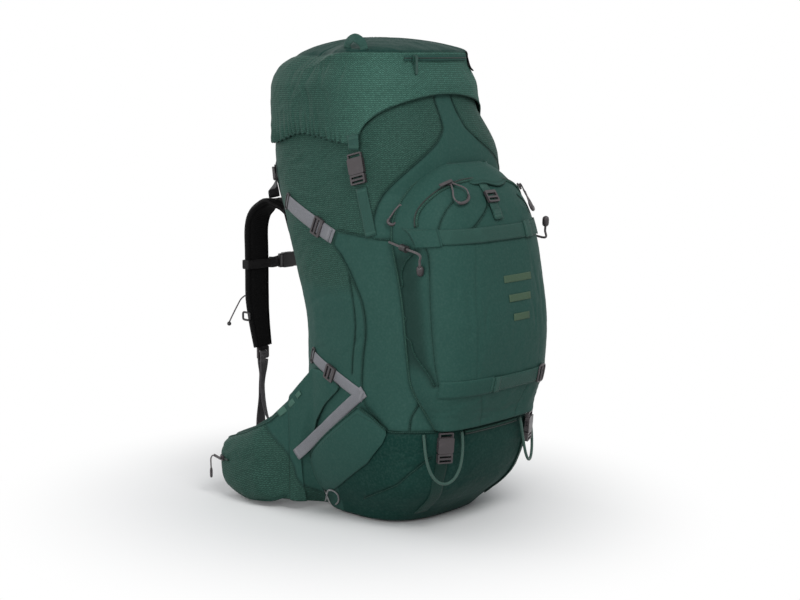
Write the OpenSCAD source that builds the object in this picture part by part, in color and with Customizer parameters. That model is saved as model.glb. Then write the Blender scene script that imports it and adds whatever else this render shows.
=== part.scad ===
// Hiking backpack: a top-loading pack with a hinged lid, a zipped front pocket, side pockets,
// an internal frame, a sliding shoulder harness and a padded hip belt.
// Millimetres. +Z is up, the front pocket faces -Y, the wearer's back is at +Y, the wearer's left is -X.
// The origin is the centre of the base panel's underside.

/* [Node] */
// Sub-part to draw

/* [Packbag] */
// Height of the packbag's rim
rim_z = 738; // [715:1:760]
// Fabric wall of the packbag
wall = 4; // [3:0.5:5]
// Squareness of the packbag's corners
corner_n = 2.9; // [2.5:0.1:3.4]
// Length over which the profile's bends are softened
soften = 36; // [27:1:45]
// Clear space left between sewn pieces
seat = 0.5; // [0.4:0.1:0.8]
// Reach of the base behind the origin
base_rear = 88; // [80:1:96]
// Reach of the base in front of the origin
base_front = 95; // [85:1:105]
// Width at the base
base_w = 224; // [210:1:240]
// Height where the heel of the bag ends
heel_z = 45; // [40:1:52]
// Reach of the heel behind the origin
heel_rear = 124; // [118:1:130]
// Reach of the heel in front of the origin
heel_front = 185; // [175:1:195]
// Width at the heel
heel_w = 312; // [300:1:324]
// Height of the hips
hip_z = 140; // [130:1:150]
// Reach of the hips in front of the origin
hip_front = 222; // [212:1:232]
// Width at the hips
hip_w = 354; // [344:1:364]
// Height where the back starts to lean
lumbar_z = 355; // [345:1:362]
// Reach of the lumbar behind the origin
lumbar_rear = 118; // [110:1:126]
// Height of the waist
waist_z = 400; // [385:1:415]
// Reach of the waist in front of the origin
waist_front = 190; // [182:1:198]
// Width at the waist
waist_w = 358; // [348:1:368]
// Height of the chest
chest_z = 560; // [545:1:575]
// Reach of the chest in front of the origin
chest_front = 160; // [150:1:170]
// Width at the chest
chest_w = 340; // [330:1:350]
// Height where the leaning back ends
nape_z = 592; // [588:1:605]
// Reach of the nape behind the origin
nape_rear = 213; // [205:1:221]
// Reach of the rim behind the origin
rim_rear = 221; // [214:1:228]
// Reach of the rim in front of the origin
rim_front = 98; // [90:1:106]
// Width at the rim
rim_w = 302; // [292:1:312]

/* [Base, collar and divider] */
// Base panel width
panel_w = 196; // [180:1:205]
// Base panel depth
panel_d = 150; // [140:1:160]
// Base panel thickness
panel_t = 3; // [2:0.5:4]
// Height of the collar above the rim
collar_rise = 13; // [10:1:14]
// How far the drawn collar closes in
collar_close = 46; // [36:1:52]
// Collar fabric thickness
collar_t = 2.5; // [2:0.5:3.5]
// Drawcord diameter
cord_d = 4; // [3:0.5:5]
// Height of the floating divider
divider_z = 236; // [215:1:250]
// Open gap left in front of the divider
divider_gap = 80; // [65:1:95]

/* [Lid] */
// Height of the lid's crown above the rim
crown_z = 86; // [74:1:98]
// Height of the lid's shoulder above the rim
shoulder_z = 47; // [40:1:54]
// Drop of the lid's skirt below the rim at the sides
skirt_side = 90; // [82:1:100]
// Drop of the lid's skirt below the rim at the front
skirt_front = 9; // [4:1:18]
// Drop of the lid's skirt below the rim at the rear
skirt_rear = 80; // [74:1:86]
// Lid wall
lid_t = 5; // [4:0.5:6]
// Clear space between lid and packbag
lid_gap = 1.6; // [1.2:0.1:2.4]
// How far the crown rounds in
crown_in = 46; // [36:1:56]
// How far the lid tapers in at the shoulder
lid_taper = 15; // [10:1:18]
// Height of the lid's floor above the rim
lid_floor_z = 22; // [19:1:28]
// Radius of the lid zip's curve
lid_zip_r = 322; // [300:1:345]
// Half angle of the lid zip
lid_zip_half = 14; // [10:1:16]

/* [Front pocket] */
// Lower edge of the front pocket
pocket_z0 = 183; // [178:1:190]
// Upper edge of the front pocket
pocket_z1 = 617; // [608:1:626]
// Height where the pocket's arch begins
pocket_arch_z = 470; // [455:1:485]
// Half width of the pocket
pocket_half = 151; // [144:1:156]
// How far the pocket stands out
pocket_deep = 66; // [56:1:74]
// Squareness of the pocket's section
pocket_n = 3; // [2.6:0.1:3.4]
// Height of the front band
band_z = 504; // [495:1:512]
// Width of the front band
band_w = 24; // [20:1:28]
// Half width of the arched zip
arch_half = 142; // [136:1:143]
// Height where the arched zip's curve begins
arch_z = 498; // [495:1:502]
// Rise of the arched zip
arch_rise = 94; // [88:1:97]
// Squareness of the arched zip
arch_n = 2.6; // [2.4:0.1:2.8]
// Angle along the arch at which the tape starts
arch_from = 10; // [9:1:14]
// Angle along the arch of the left slider
slider_left_at = 115; // [108:1:122]
// Angle along the arch of the right slider
slider_right_at = 42; // [38:1:50]
// Width of the zip tapes
zip_w = 10; // [8:1:12]
// Height of the upper strap's buckle
tail_lock_z = 560; // [556:1:566]
// Height of the top of the upper strap
tail_top = 575; // [572:1:580]
// Height of the end of the upper strap
tail_end = 526; // [522:1:532]
// Height of the lower front strap
low_strap_z = 256; // [250:1:262]

/* [Side pockets and straps] */
// Rear edge of the side pocket
side_y1 = 30; // [22:1:34]
// Front edge of the side pocket
side_y0 = -112; // [-120:1:-104]
// Lower edge of the side pocket
side_z0 = 40; // [34:1:48]
// Mouth height at the pocket's front
side_mouth = 214; // [205:1:220]
// Fall of the mouth from front to rear
side_fall = 92; // [84:1:100]
// How far the side pocket stands out at its mouth
side_deep = 20; // [16:1:26]
// Width of the side straps
strap_band = 25; // [20:1:28]
// Webbing thickness
web_t = 2; // [1.6:0.1:2.6]
// Width of the narrow webbing
web_w = 20; // [18:1:22]

/* [Frame and back] */
// Framesheet half width
sheet_half = 108; // [100:1:114]
// Framesheet thickness
sheet_t = 1.8; // [1.4:0.1:2.4]
// Frame tube diameter
tube_d = 7; // [6:0.5:8]
// Top of the frame
frame_top = 616; // [606:1:622]
// Back pad thickness
pad_t = 14; // [10:1:18]
// Lumbar pad thickness
lumbar_t = 22; // [18:1:28]
// Half gap between the back pads
pad_gap = 17; // [15:1:22]
// Half width over the back pads and lumbar pad
pad_edge = 101; // [96:1:102]
// Height of the back pads' lower edge
back_pad_low = 242; // [238:1:250]
// Height of the back pads' upper edge
back_pad_high = 388; // [380:1:392]
// Height of the lumbar pad's lower edge
lumbar_low = 78; // [74:1:84]
// Height of the lumbar pad's upper edge
lumbar_high = 232; // [224:1:236]

/* [Harness] */
// Lower edge of the yoke
yoke_z0 = 434; // [430:1:440]
// Upper edge of the yoke
yoke_z1 = 522; // [514:1:530]
// Yoke half width
yoke_half = 104; // [101:1:108]
// Yoke thickness
yoke_t = 8; // [6:1:10]
// How far the shoulder straps stand behind the origin
strap_reach = 272; // [264:1:284]
// Half spacing of the shoulder straps
strap_x = 90; // [84:1:96]
// Shoulder strap width
strap_w = 52; // [46:1:56]
// Shoulder strap thickness
strap_t = 15; // [12:1:17]
// Crest height of the shoulder straps
strap_crest = 533; // [528:1:540]
// Lower end of the shoulder straps
strap_end = 262; // [252:1:272]
// Height of the sternum strap
sternum_z = 415; // [405:1:425]
// Height where a load lifter leaves the packbag
lifter_z = 574; // [568:1:580]
// Height of a load lifter's buckle above that
lifter_lock = 14; // [13:1:16]
// Length of a hanging strap tail
tail_len = 128; // [100:1:140]

/* [Hip belt] */
// Height of the wing's top edge at its front
wing_top = 264; // [256:1:266]
// Front edge of the wing
wing_y = 38; // [36:1:44]
// Wing thickness
wing_t = 5; // [4:0.5:6]
// Position of the hip hinge behind the origin
hinge_y = 100; // [94:1:104]
// Fin thickness
fin_t = 24; // [20:1:28]
// Reach of the fin's tip behind the origin
fin_reach = 272; // [262:1:280]
// How far the fin's tip turns in
fin_turn = 14; // [10:1:22]
// Bow of the fin
fin_bow = 16; // [12:1:22]
// How far the hip pocket stands out
hip_deep = 24; // [18:1:28]
// Height of the hip zip
hip_zip_z = 72; // [68:1:78]
// Height of the belt's buckle
belt_z = 66; // [60:1:72]
// Width of the belt webbing
belt_w = 38; // [32:1:40]
// Standing distance of the belt's buckle behind the origin
belt_reach = 302; // [294:1:312]

/* [Fittings] */
// Half spacing of the pad straps
pad_x = 107; // [100:1:112]
// Height of the pad buckles' mouths
pad_z = 145; // [142:1:147]
// Drop of the lid buckles' mouths below the rim
lid_buckle_z = 138; // [134:1:146]
// Lid strap position along Y
lid_strap_y = -58; // [-64:1:-52]
// Drop of the axe loops
axe_drop = 84; // [74:1:94]
// Half width of an axe loop
axe_half = 31; // [26:1:34]
// Drop of the haul loop's ends below the rim
haul_z = 98; // [94:1:104]
// Drop of the haul loop
haul_drop = 46; // [38:1:52]

/* [Hidden] */
$fn = 32;
sides = 40;
web_lift = seat;
arch_lift = seat + 0.4;
slider_seat = seat + 0.1;
yoke_seat = seat + 0.4;
crown_at = rim_z + crown_z;
shoulder_at = rim_z + shoulder_z;
skirt_side_at = rim_z - skirt_side;
skirt_front_at = rim_z - skirt_front;
skirt_rear_at = rim_z - skirt_rear;
floor_at = rim_z + lid_floor_z;
lid_buckle_at = rim_z - lid_buckle_z;
haul_at = rim_z - haul_z;
green = [0.19, 0.32, 0.28];
dark_green = [0.14, 0.27, 0.23];
light_green = [0.24, 0.39, 0.33];
black = [0.1, 0.1, 0.1];
grey = [0.48, 0.45, 0.46];
hardware = [0.34, 0.31, 0.32];
silver = [0.7, 0.7, 0.72];

rear_table = [[0, base_rear], [heel_z, heel_rear], [lumbar_z, lumbar_rear],
    [nape_z, nape_rear], [rim_z, rim_rear]];
front_table = [[0, -base_front], [heel_z, -heel_front], [hip_z, -hip_front], [waist_z, -waist_front],
    [chest_z, -chest_front], [rim_z, -rim_front]];
half_table = [[0, base_w / 2], [heel_z, heel_w / 2], [hip_z, hip_w / 2], [waist_z, waist_w / 2],
    [chest_z, chest_w / 2], [rim_z, rim_w / 2]];

function total(v) = v * [for (i = v) 1];
function mix(a, b, f) = a + (b - a) * f;
function within(f) = min(1, max(0, f));
function ease(f) = let (g = within(f)) g * g * (3 - 2 * g);
function unit(v) = v / norm(v);
function soft(table, z) = total([for (k = [-3:3]) lookup(z + k * soften / 3, table)]) / 7;

// Packbag surface
bag_rows = [for (i = [0:16]) mix(panel_t + seat, rim_z, pow(i / 16, 1.22))];
rear_rows = [for (z = bag_rows) [z, soft(rear_table, z)]];
front_rows = [for (z = bag_rows) [z, soft(front_table, z)]];
half_rows = [for (z = bag_rows) [z, soft(half_table, z)]];
function bag_rear(z) = lookup(z, rear_rows);
function bag_front(z) = lookup(z, front_rows);
function bag_half(z) = lookup(z, half_rows);
function mid_y(z) = (bag_rear(z) + bag_front(z)) / 2;
function half_y(z) = (bag_rear(z) - bag_front(z)) / 2;
function bow(q, n = corner_n) = pow(max(0, 1 - pow(abs(q), n)), 1 / n);
function front_y(x, z, off = 0) = mid_y(z) - (half_y(z) + off) * bow(x / (bag_half(z) + off));
function rear_y(x, z, off = 0) = mid_y(z) + (half_y(z) + off) * bow(x / (bag_half(z) + off));
function side_x(y, z, off = 0) = (bag_half(z) + off) * bow((y - mid_y(z)) / (half_y(z) + off));
function polar(a, w, d) = pow(pow(abs(cos(a)) / w, corner_n) + pow(abs(sin(a)) / d, corner_n), -1 / corner_n);
function section(a, z, at, off) = let (r = polar(a, bag_half(z) + off, half_y(z) + off))
    [r * cos(a), mid_y(z) + r * sin(a), at];
function bag_pt(a, z, off = 0) = section(a, z, z, off);
function bag_out(a, z) =
    unit(cross(bag_pt(a + 1, z) - bag_pt(a - 1, z), bag_pt(a, z + 3) - bag_pt(a, z - 3)));
function side_a(y, z) = atan2(y - mid_y(z), -side_x(y, z)) + (y < mid_y(z) ? 360 : 0);
function front_a(x, z) = atan2(front_y(x, z) - mid_y(z), x) + 360;
function ring(z, at, off) = [for (i = [0:sides - 1]) section(i * 360 / sides, z, at, off)];

// Lid surface
function lid_off(z) = lid_gap + lid_t - lid_taper * ease((z - rim_z) / (shoulder_at - rim_z));
function lid_pt(a, z, off = 0) = section(a, min(z, rim_z), z, lid_off(z) + off);
function front_angle(a) = abs(((a - 270) % 360 + 540) % 360 - 180);
function skirt(a) = let (d = front_angle(a))
    d < 58 ? skirt_side_at + (skirt_front_at - skirt_side_at) * sqrt(max(0, 1 - pow(d / 58, 2)))
    : mix(skirt_side_at, skirt_rear_at, ease((d - 58) / 60)) + 8 * pow(sin(within((d - 58) / 80) * 180), 2);

// Front pocket surface
pocket_table = [[pocket_z0, 6], [pocket_z0 + 58, pocket_deep * 0.66], [pocket_z0 + 160, pocket_deep],
    [pocket_z1 - 125, pocket_deep], [pocket_z1 - 42, pocket_deep * 0.76], [pocket_z1, 10]];
pocket_wide = [[pocket_z0, pocket_half * 0.76], [pocket_z0 + 50, pocket_half * 0.985],
    [pocket_z0 + 150, pocket_half], [pocket_arch_z, pocket_half * 0.99]];
function pocket_w(z) = z < pocket_arch_z - soften ? soft(pocket_wide, z)
    : soft(pocket_wide, z)
        * sqrt(1 - pow(within((z - pocket_arch_z) / (pocket_z1 + 4 - pocket_arch_z)), 2.6));
function pocket_y(x, z) = let (h = pocket_w(z), edge = front_y(h, z) - seat - 1,
    face = front_y(0, z) - soft(pocket_table, z)) edge - (edge - face) * bow(x / h, pocket_n);
function pocket_pt(x, z) = [x, pocket_y(x, z), z];
function pocket_out(x, z) = unit(cross([2, pocket_y(x + 1, z) - pocket_y(x - 1, z), 0],
    [0, pocket_y(x, z + 3) - pocket_y(x, z - 3), 6]));

// Arched zip: it follows the pocket's surface, a little inside the pocket's edge
function arch_x(t) = arch_half * sign(cos(t)) * pow(abs(cos(t)), 2 / arch_n);
function arch_h(t) = arch_z + arch_rise * pow(sin(t), 2 / arch_n);
function arch_at(t) = [arch_x(t), pocket_y(arch_x(t), arch_h(t)), arch_h(t)];
function arch_face(t) = pocket_out(arch_x(t), arch_h(t));
function arch_turn(i) = mix(arch_from, 180 - arch_from, i / arch_steps);
arch_steps = 24;

// Hip belt
hinge_x = bag_half(hip_z) - 1;
fin_a = [-(hinge_x - fin_t / 2), hinge_y + 0.5];
fin_b = [-(hinge_x - fin_t / 2 - fin_turn), fin_reach];
fin_chord = norm(fin_b - fin_a);
fin_r = (fin_chord * fin_chord / 4 + fin_bow * fin_bow) / (2 * fin_bow);
fin_side = [fin_b.y - fin_a.y, fin_a.x - fin_b.x] / fin_chord;
fin_centre = (fin_a + fin_b) / 2 + fin_side * (fin_r - fin_bow);
fin_start = atan2(fin_a.y - fin_centre.y, fin_a.x - fin_centre.x) + 360;
fin_stop = atan2(fin_b.y - fin_centre.y, fin_b.x - fin_centre.x);
fin_high = [[0, 204], [0.25, 164], [0.5, 138], [1, 104]];
fin_low = [[0, 16], [0.5, 10], [1, 24]];
function fin_angle(s) = mix(fin_start, fin_stop, s);
function fin_end(s) = sqrt(1 - pow(within((s - 0.82) / 0.19), 2));
function fin_mid(s) = (lookup(s, fin_high) + lookup(s, fin_low)) / 2;
function fin_tall(s) = (lookup(s, fin_high) - lookup(s, fin_low)) / 2 * mix(0.4, 1, fin_end(s));
function fin_thick(s) = fin_t / 2 * mix(0.45, 1, fin_end(s)) * mix(0.5, 1, ease(s / 0.12));
function fin_pt(s, r, z) = let (a = fin_angle(s))
    [fin_centre.x + r * cos(a), fin_centre.y + r * sin(a), z];
function fin_skin(s, v) = fin_r + fin_thick(s) * bow(v, 3);
function hip_bulge(s) = hip_deep * sqrt(max(0, 1 - pow(abs(s - 0.5) / 0.452, 10)));
hip_zip_r = fin_r + fin_t / 2 + hip_deep + seat + 2.3;

// Wing between packbag and fin
function wing_x(y, z) = mix(side_x(wing_y, z) + seat + 0.4, hinge_x - wing_t,
    ease((y - wing_y) / (hinge_y - wing_y)));
function wing_high(y) = mix(wing_top, lookup(0, fin_high) + 2, (y - wing_y) / (hinge_y - wing_y));
function wing_low(y) = mix(heel_z + 10, lookup(0, fin_low), (y - wing_y) / (hinge_y - wing_y));

// Back
frame_off = seat + sheet_t + seat;
pad_off = frame_off + tube_d + 0.7;
back_lean = (nape_rear - lumbar_rear) / (nape_z - lumbar_z);
function root_y(z) = rear_y(30, z) + pad_off + 0.4 + yoke_t + seat + strap_t * 0.545;

// Side strap line from the packbag over the wing
stab_from = [-79, 235];
stab_to = [82, 103];
function stab_at(f) = mix(stab_from, stab_to, f);
function stab_x(p) = mix(side_x(min(p.x, wing_y), p.y) + web_lift,
    wing_x(max(p.x, wing_y), p.y) + wing_t + web_lift + 0.8,
    ease((p.x - wing_y + 30) / 18));

// Solid lofted through rings of points, capped at its ends or joined end to end
module loft(rings, joined = false) {
    n = len(rings[0]);
    m = len(rings);
    polyhedron(
        points = [for (r = rings) each r],
        faces = concat(
            [for (i = [0:(joined ? m - 1 : m - 2)]) for (j = [0:n - 1])
                let (a = i * n, b = ((i + 1) % m) * n, k = (j + 1) % n) [a + j, b + j, b + k]],
            [for (i = [0:(joined ? m - 1 : m - 2)]) for (j = [0:n - 1])
                let (a = i * n, b = ((i + 1) % m) * n, k = (j + 1) % n) [a + j, b + k, a + k]],
            joined ? [] : [[for (j = [0:n - 1]) j], [for (j = [n - 1:-1:0]) (m - 1) * n + j]]));
}

// Solid between an outer and an inner grid of points, columns crossed with rows facing out
module sheet(outer, inner) {
    m = len(outer);
    n = len(outer[0]);
    o = m * n;
    quads = concat(
        [for (i = [0:m - 2]) for (j = [0:n - 2]) let (a = i * n + j) [a, a + n, a + n + 1, a + 1]],
        [for (i = [0:m - 2]) for (j = [0:n - 2]) let (a = o + i * n + j) [a, a + 1, a + n + 1, a + n]],
        [for (j = [0:n - 2]) [j, j + 1, o + j + 1, o + j]],
        [for (j = [0:n - 2]) let (a = (m - 1) * n + j) [a + 1, a, o + a, o + a + 1]],
        [for (i = [0:m - 2]) let (a = i * n) [a + n, a, o + a, o + a + n]],
        [for (i = [0:m - 2]) let (a = i * n + n - 1) [a, a + n, o + a + n, o + a]]);
    polyhedron(
        points = concat([for (r = outer) each r], [for (r = inner) each r]),
        faces = [for (q = quads) each [[q[0], q[1], q[2]], [q[0], q[2], q[3]]]]);
}

function heading(p, i, joined = false) = let (n = len(p))
    joined ? unit(p[(i + 1) % n] - p[(i + n - 1) % n]) : unit(p[min(i + 1, n - 1)] - p[max(i - 1, 0)]);

// Flat webbing along points, lying on the side that each normal faces
module webbing(points, normals, width, lift = web_lift, thick = web_t) {
    loft([for (i = [0:len(points) - 1])
        let (t = heading(points, i), b = unit(cross(normals[i], t)), n = cross(t, b), p = points[i])
        [p - b * width / 2 + n * lift, p + b * width / 2 + n * lift,
            p + b * width / 2 + n * (lift + thick), p - b * width / 2 + n * (lift + thick)]]);
}

// Round cord along points
module cord(points, d, hint = [0, 0, 1], joined = false, facets = 6) {
    loft([for (i = [0:len(points) - 1])
        let (t = heading(points, i, joined), u = unit(cross(hint, t)), v = cross(t, u))
        [for (k = [0:facets - 1]) let (a = k * 360 / facets)
            points[i] + d / 2 * (cos(a) * u + sin(a) * v)]],
        joined);
}

// Local frame: Y runs along, Z faces out
module place(p, along, out) {
    y = unit(along);
    z = unit(out - y * (out * y));
    x = cross(y, z);
    multmatrix([[x.x, y.x, z.x, p.x], [x.y, y.y, z.y, p.y], [x.z, y.z, z.z, p.z], [0, 0, 0, 1]]) children();
}

module both() {
    children();
    mirror([1, 0, 0]) children();
}

module box(x0, x1, y0, y1, z0, z1) {
    translate([x0, y0, z0]) cube([x1 - x0, y1 - y0, z1 - z0]);
}

module slab(x, y, r, z0, z1) {
    translate([0, 0, z0]) linear_extrude(z1 - z0) {
        square([x - 2 * r, y], center = true);
        square([x, y - 2 * r], center = true);
        for (sx = [-1, 1]) {
            for (sy = [-1, 1]) {
                translate([sx * (x / 2 - r), sy * (y / 2 - r)]) circle(r);
            }
        }
    }
}

// Side-release buckle for webbing of width w: the mouth is at Y = 0
function buckle_w(w) = w + 8;
function buckle_len(w) = w * 0.9 + 9;
function buckle_t(w) = w * 0.13 + 5.4;
function bar_len(w) = w * 0.12 + 6;
function tongue_len(w) = w * 0.38 + 9;

module buckle_socket(w) {
    bw = buckle_w(w);
    len = buckle_len(w);
    t = buckle_t(w);
    difference() {
        union() {
            translate([0, len / 2, 0]) slab(bw, len, 3, 0, t);
            translate([0, len + bar_len(w) / 2 - 1.5, 0]) slab(bw - 2, bar_len(w) + 3, 2, 1, t - 2);
        }
        box(-bw / 2 + 2, bw / 2 - 2, -1, len - 4, 1.6, t - 1.6);
        box(-bw / 2 - 1, bw / 2 + 1, len * 0.4, len * 0.72, 1.6, t - 1.6);
        box(-w / 2 - 0.5, w / 2 + 0.5, len + 1, len + bar_len(w) - 2.5, 0, t);
    }
}

module buckle_tongue(w) {
    bw = buckle_w(w);
    len = buckle_len(w);
    t = buckle_t(w);
    back = tongue_len(w);
    difference() {
        translate([0, -back / 2 - 0.5, 0]) slab(bw - 1, back, 2, 0.5, t - 0.5);
        box(-w / 2 - 0.5, w / 2 + 0.5, -back * 0.46, -back * 0.26, 0, t);
        box(-w / 2 - 0.5, w / 2 + 0.5, -back * 0.88, -back * 0.66, 0, t);
    }
    box(-2, 2, -1, len - 7, 2.2, t - 2.2);
    for (s = [-1, 1]) {
        box(s * (bw / 2 - 5) - 1.5, s * (bw / 2 - 5) + 1.5, -1, len * 0.68, 2.2, t - 2.2);
        box(s * (bw / 2 - 4) - 1.5, s * (bw / 2 - 4) + 1.5, len * 0.46, len * 0.66, 2.2, t - 2.2);
    }
}

module ladderlock(w) {
    difference() {
        slab(w + 7, 22, 2.5, 0, 4);
        box(-w / 2 - 0.5, w / 2 + 0.5, -8, -3.5, -1, 5);
        box(-w / 2 - 0.5, w / 2 + 0.5, 0, 5.5, -1, 5);
    }
}

module slider() {
    box(-4, 4, -5.5, 5.5, 0, 3);
    box(-1.5, 1.5, -4, 4, 2.9, 5);
    box(-2.5, 2.5, -26, -3, 5.2, 6.6);
    box(-2.5, 2.5, -4, 3, 4.9, 6.6);
}

// Packbag, base and mouth

module packbag() {
    z = bag_rows;
    color(green) loft(concat(
        [for (i = [0:16]) ring(z[i], z[i], 0)],
        [for (i = [16:-1:1]) ring(z[i], z[i], -wall)],
        [ring(z[0], z[0] + wall, -wall)]));
}

module base_panel() {
    color(dark_green) slab(panel_w, panel_d, 30, 0, panel_t);
}

collar_rows = [[-22, 0], [-6, 0], [collar_rise * 0.5, collar_close * 0.4], [collar_rise, collar_close]];

module collar() {
    color(black) loft(concat(
        [for (r = collar_rows) ring(rim_z + min(0, r[0]), rim_z + r[0], -wall - seat - r[1])],
        [for (i = [3:-1:0]) let (r = collar_rows[i])
            ring(rim_z + min(0, r[0]), rim_z + r[0], -wall - seat - r[1] - collar_t)]), true);
}

collar_top = rim_z + collar_rise + cord_d / 2 + seat;

module collar_cord() {
    color(grey) cord(
        [for (i = [0:29]) section(i * 12, rim_z, collar_top, -wall - seat - collar_close - collar_t / 2)],
        cord_d, [0, 0, 1], true);
}

module collar_cord_lock() {
    y = bag_front(rim_z) + wall + seat + collar_close + collar_t / 2 - cord_d / 2;
    color(black) translate([0, y - 4.4, collar_top + 0.8]) rotate([0, 90, 0]) {
        cylinder(d = 8, h = 14, center = true);
        cylinder(d = 6, h = 20, center = true);
    }
}

module floating_divider() {
    color(dark_green) translate([0, 0, divider_z]) linear_extrude(2)
        polygon([for (p = ring(divider_z, 0, -wall - seat - 0.4))
            [p.x, max(p.y, bag_front(divider_z) + divider_gap)]]);
}

// Frame and back

// Rows that share the packbag's own rings, so that the pieces lie flat on its facets
function shared_rows(z0, z1) = concat([z0],
    [for (i = [0:15]) each [for (z = [bag_rows[i], mix(bag_rows[i], bag_rows[i + 1], 0.5)])
        if (z > z0 + 6 && z < z1 - 6) z]], [z1]);

module rear_patch(x0, x1, z0, z1, nx) {
    // columns run toward -X so that the grid faces the wearer
    rows = shared_rows(z0, z1);
    sheet(
        [for (z = rows) [for (j = [0:nx]) let (u = j / nx, x = mix(x1, x0, u))
            [x, rear_y(x, z) + $out * $puff(u, (z - z0) / (z1 - z0)) + $in, z]]],
        [for (z = rows) [for (j = [0:nx]) let (x = mix(x1, x0, j / nx)) [x, rear_y(x, z) + $in, z]]]);
}

function flat(u, v) = 1;
function cushion(u, v) = 0.3 + 0.7 * pow(sin(u * 180) * sin(v * 180), 0.35);

module framesheet() {
    color(black) rear_patch(-sheet_half, sheet_half, 74, frame_top - 14, 12,
        $in = seat, $out = sheet_t, $puff = function(u, v) flat(u, v));
}

function frame_path() = let (x = sheet_half - 8, r = 42, low = 84, top = frame_top - 18,
    leg = shared_rows(low, top - r)) concat(
    [for (z = leg) [-x, z]],
    [for (i = [1:5]) [-x + r - r * cos(i * 18), top - r + r * sin(i * 18)]],
    [for (i = [1:5]) [mix(-x + r, x - r, i / 6), top]],
    [for (i = [0:4]) [x - r + r * sin(i * 18), top - r + r * cos(i * 18)]],
    [for (i = [len(leg) - 1:-1:0]) [x, leg[i]]]);

module perimeter_frame() {
    color(silver) cord([for (p = frame_path()) [p.x, rear_y(p.x, p.y) + frame_off + tube_d / 2 + 0.4, p.y]],
        tube_d, [0, 1, 0], false, 8);
}

module centre_stay() {
    color(silver) rear_patch(-9, 9, 92, frame_top - 40, 2,
        $in = frame_off, $out = 3, $puff = function(u, v) flat(u, v));
}

module back_pads() {
    color(black) both() rear_patch(pad_gap, pad_edge, back_pad_low, back_pad_high, 6,
        $in = pad_off, $out = pad_t, $puff = function(u, v) cushion(u, v));
}

module lumbar_pad() {
    color(black) rear_patch(-pad_edge, pad_edge, lumbar_low, lumbar_high, 10,
        $in = pad_off, $out = lumbar_t, $puff = function(u, v) cushion(u, v));
}

// Pockets

module front_pocket() {
    nx = 20;
    nz = 16;
    rows = [for (i = [0:nz]) mix(pocket_z0, pocket_z1, i / nz)];
    color(green) sheet(
        [for (z = rows) [for (j = [0:nx]) let (x = pocket_w(z) * sin(mix(-90, 90, j / nx)))
            [x, min(pocket_y(x, z), front_y(x, z) - seat - 2.1), z]]],
        [for (z = rows) [for (j = [0:nx]) let (x = pocket_w(z) * sin(mix(-90, 90, j / nx)))
            [x, min(pocket_y(x, z) + 3, front_y(x, z) - seat - 0.6), z]]]);
}

function side_top(y) = side_mouth - side_fall * (y - side_y0) / (side_y1 - side_y0);
function side_puff(u, v) = seat + side_deep * pow(sin(u * 180), 0.7) * pow(v, 0.6);

module side_pocket_left() {
    nu = 14;
    nv = 9;
    color(light_green) sheet(
        [for (i = [0:nv]) [for (j = [0:nu]) let (u = j / nu, v = i / nv, y = mix(side_y1, side_y0, u),
            z = mix(side_z0, side_top(y), v)) [-side_x(y, z) - side_puff(u, v) - 2, y, z]]],
        [for (i = [0:nv]) [for (j = [0:nu]) let (u = j / nu, v = i / nv, y = mix(side_y1, side_y0, u),
            z = mix(side_z0, side_top(y), v)) [-side_x(y, z) - side_puff(u, v), y, z]]]);
}

module side_pocket_right() {
    mirror([1, 0, 0]) side_pocket_left();
}

// Straps on the packbag

function side_pt(y, z) = [-side_x(y, z), y, z];
function side_out(y, z) = bag_out(side_a(y, z), z);
upper_from = [112, 546];
upper_to = [-14, 494];
lower_from = [44, 286];
lower_to = [-66, 240];

module compression_straps_left() {
    color(grey) {
        webbing([for (i = [0:9]) let (p = mix(upper_from, upper_to, i / 9)) side_pt(p.x, p.y)],
            [for (i = [0:9]) let (p = mix(upper_from, upper_to, i / 9)) side_out(p.x, p.y)], strap_band);
        webbing([for (i = [0:9]) let (p = mix(lower_from, lower_to, i / 9)) side_pt(p.x, p.y)],
            [for (i = [0:9]) let (p = mix(lower_from, lower_to, i / 9)) side_out(p.x, p.y)], strap_band - 5);
        webbing([for (i = [0:14]) let (p = stab_at(i / 14)) [-stab_x(p), p.x, p.y]],
            [for (i = [0:14]) let (p = stab_at(i / 14), o = side_out(min(p.x, wing_y - 20), p.y)) o],
            strap_band - 5, 0.2);
    }
}

module compression_straps_right() {
    mirror([1, 0, 0]) compression_straps_left();
}

module lock_on_side(p, q, w) {
    place(side_pt(p.x, p.y) + side_out(p.x, p.y) * (web_lift + web_t + seat),
        side_pt(q.x, q.y) - side_pt(p.x, p.y),
        side_out(p.x, p.y)) ladderlock(w);
}

module ladderlocks() {
    color(hardware) {
        both() lock_on_side(mix(upper_from, upper_to, 0.72), mix(upper_from, upper_to, 0.8), strap_band);
        both() lock_on_side(mix(lower_from, lower_to, 0.5), mix(lower_from, lower_to, 0.6), strap_band - 5);
        both() place(lifter_at(lifter_lock) + lifter_out(lifter_lock) * (web_lift + web_t + seat + 0.3),
            lifter_at(0) - lifter_at(2 * lifter_lock), lifter_out(lifter_lock)) ladderlock(web_w);
        place(pocket_pt(0, tail_lock_z) + pocket_out(0, tail_lock_z) * (web_lift + web_t + seat + 0.4),
            pocket_pt(0, tail_lock_z + 12) - pocket_pt(0, tail_lock_z - 12), pocket_out(0, tail_lock_z))
            ladderlock(web_w);
    }
}

function band_pt(x, i, out) = let (z = band_z + (i - 0.5) * band_w)
    [x, min(pocket_y(x, z), front_y(x, z) - seat - 1.8) - web_lift - 0.6 - out, z];

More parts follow.
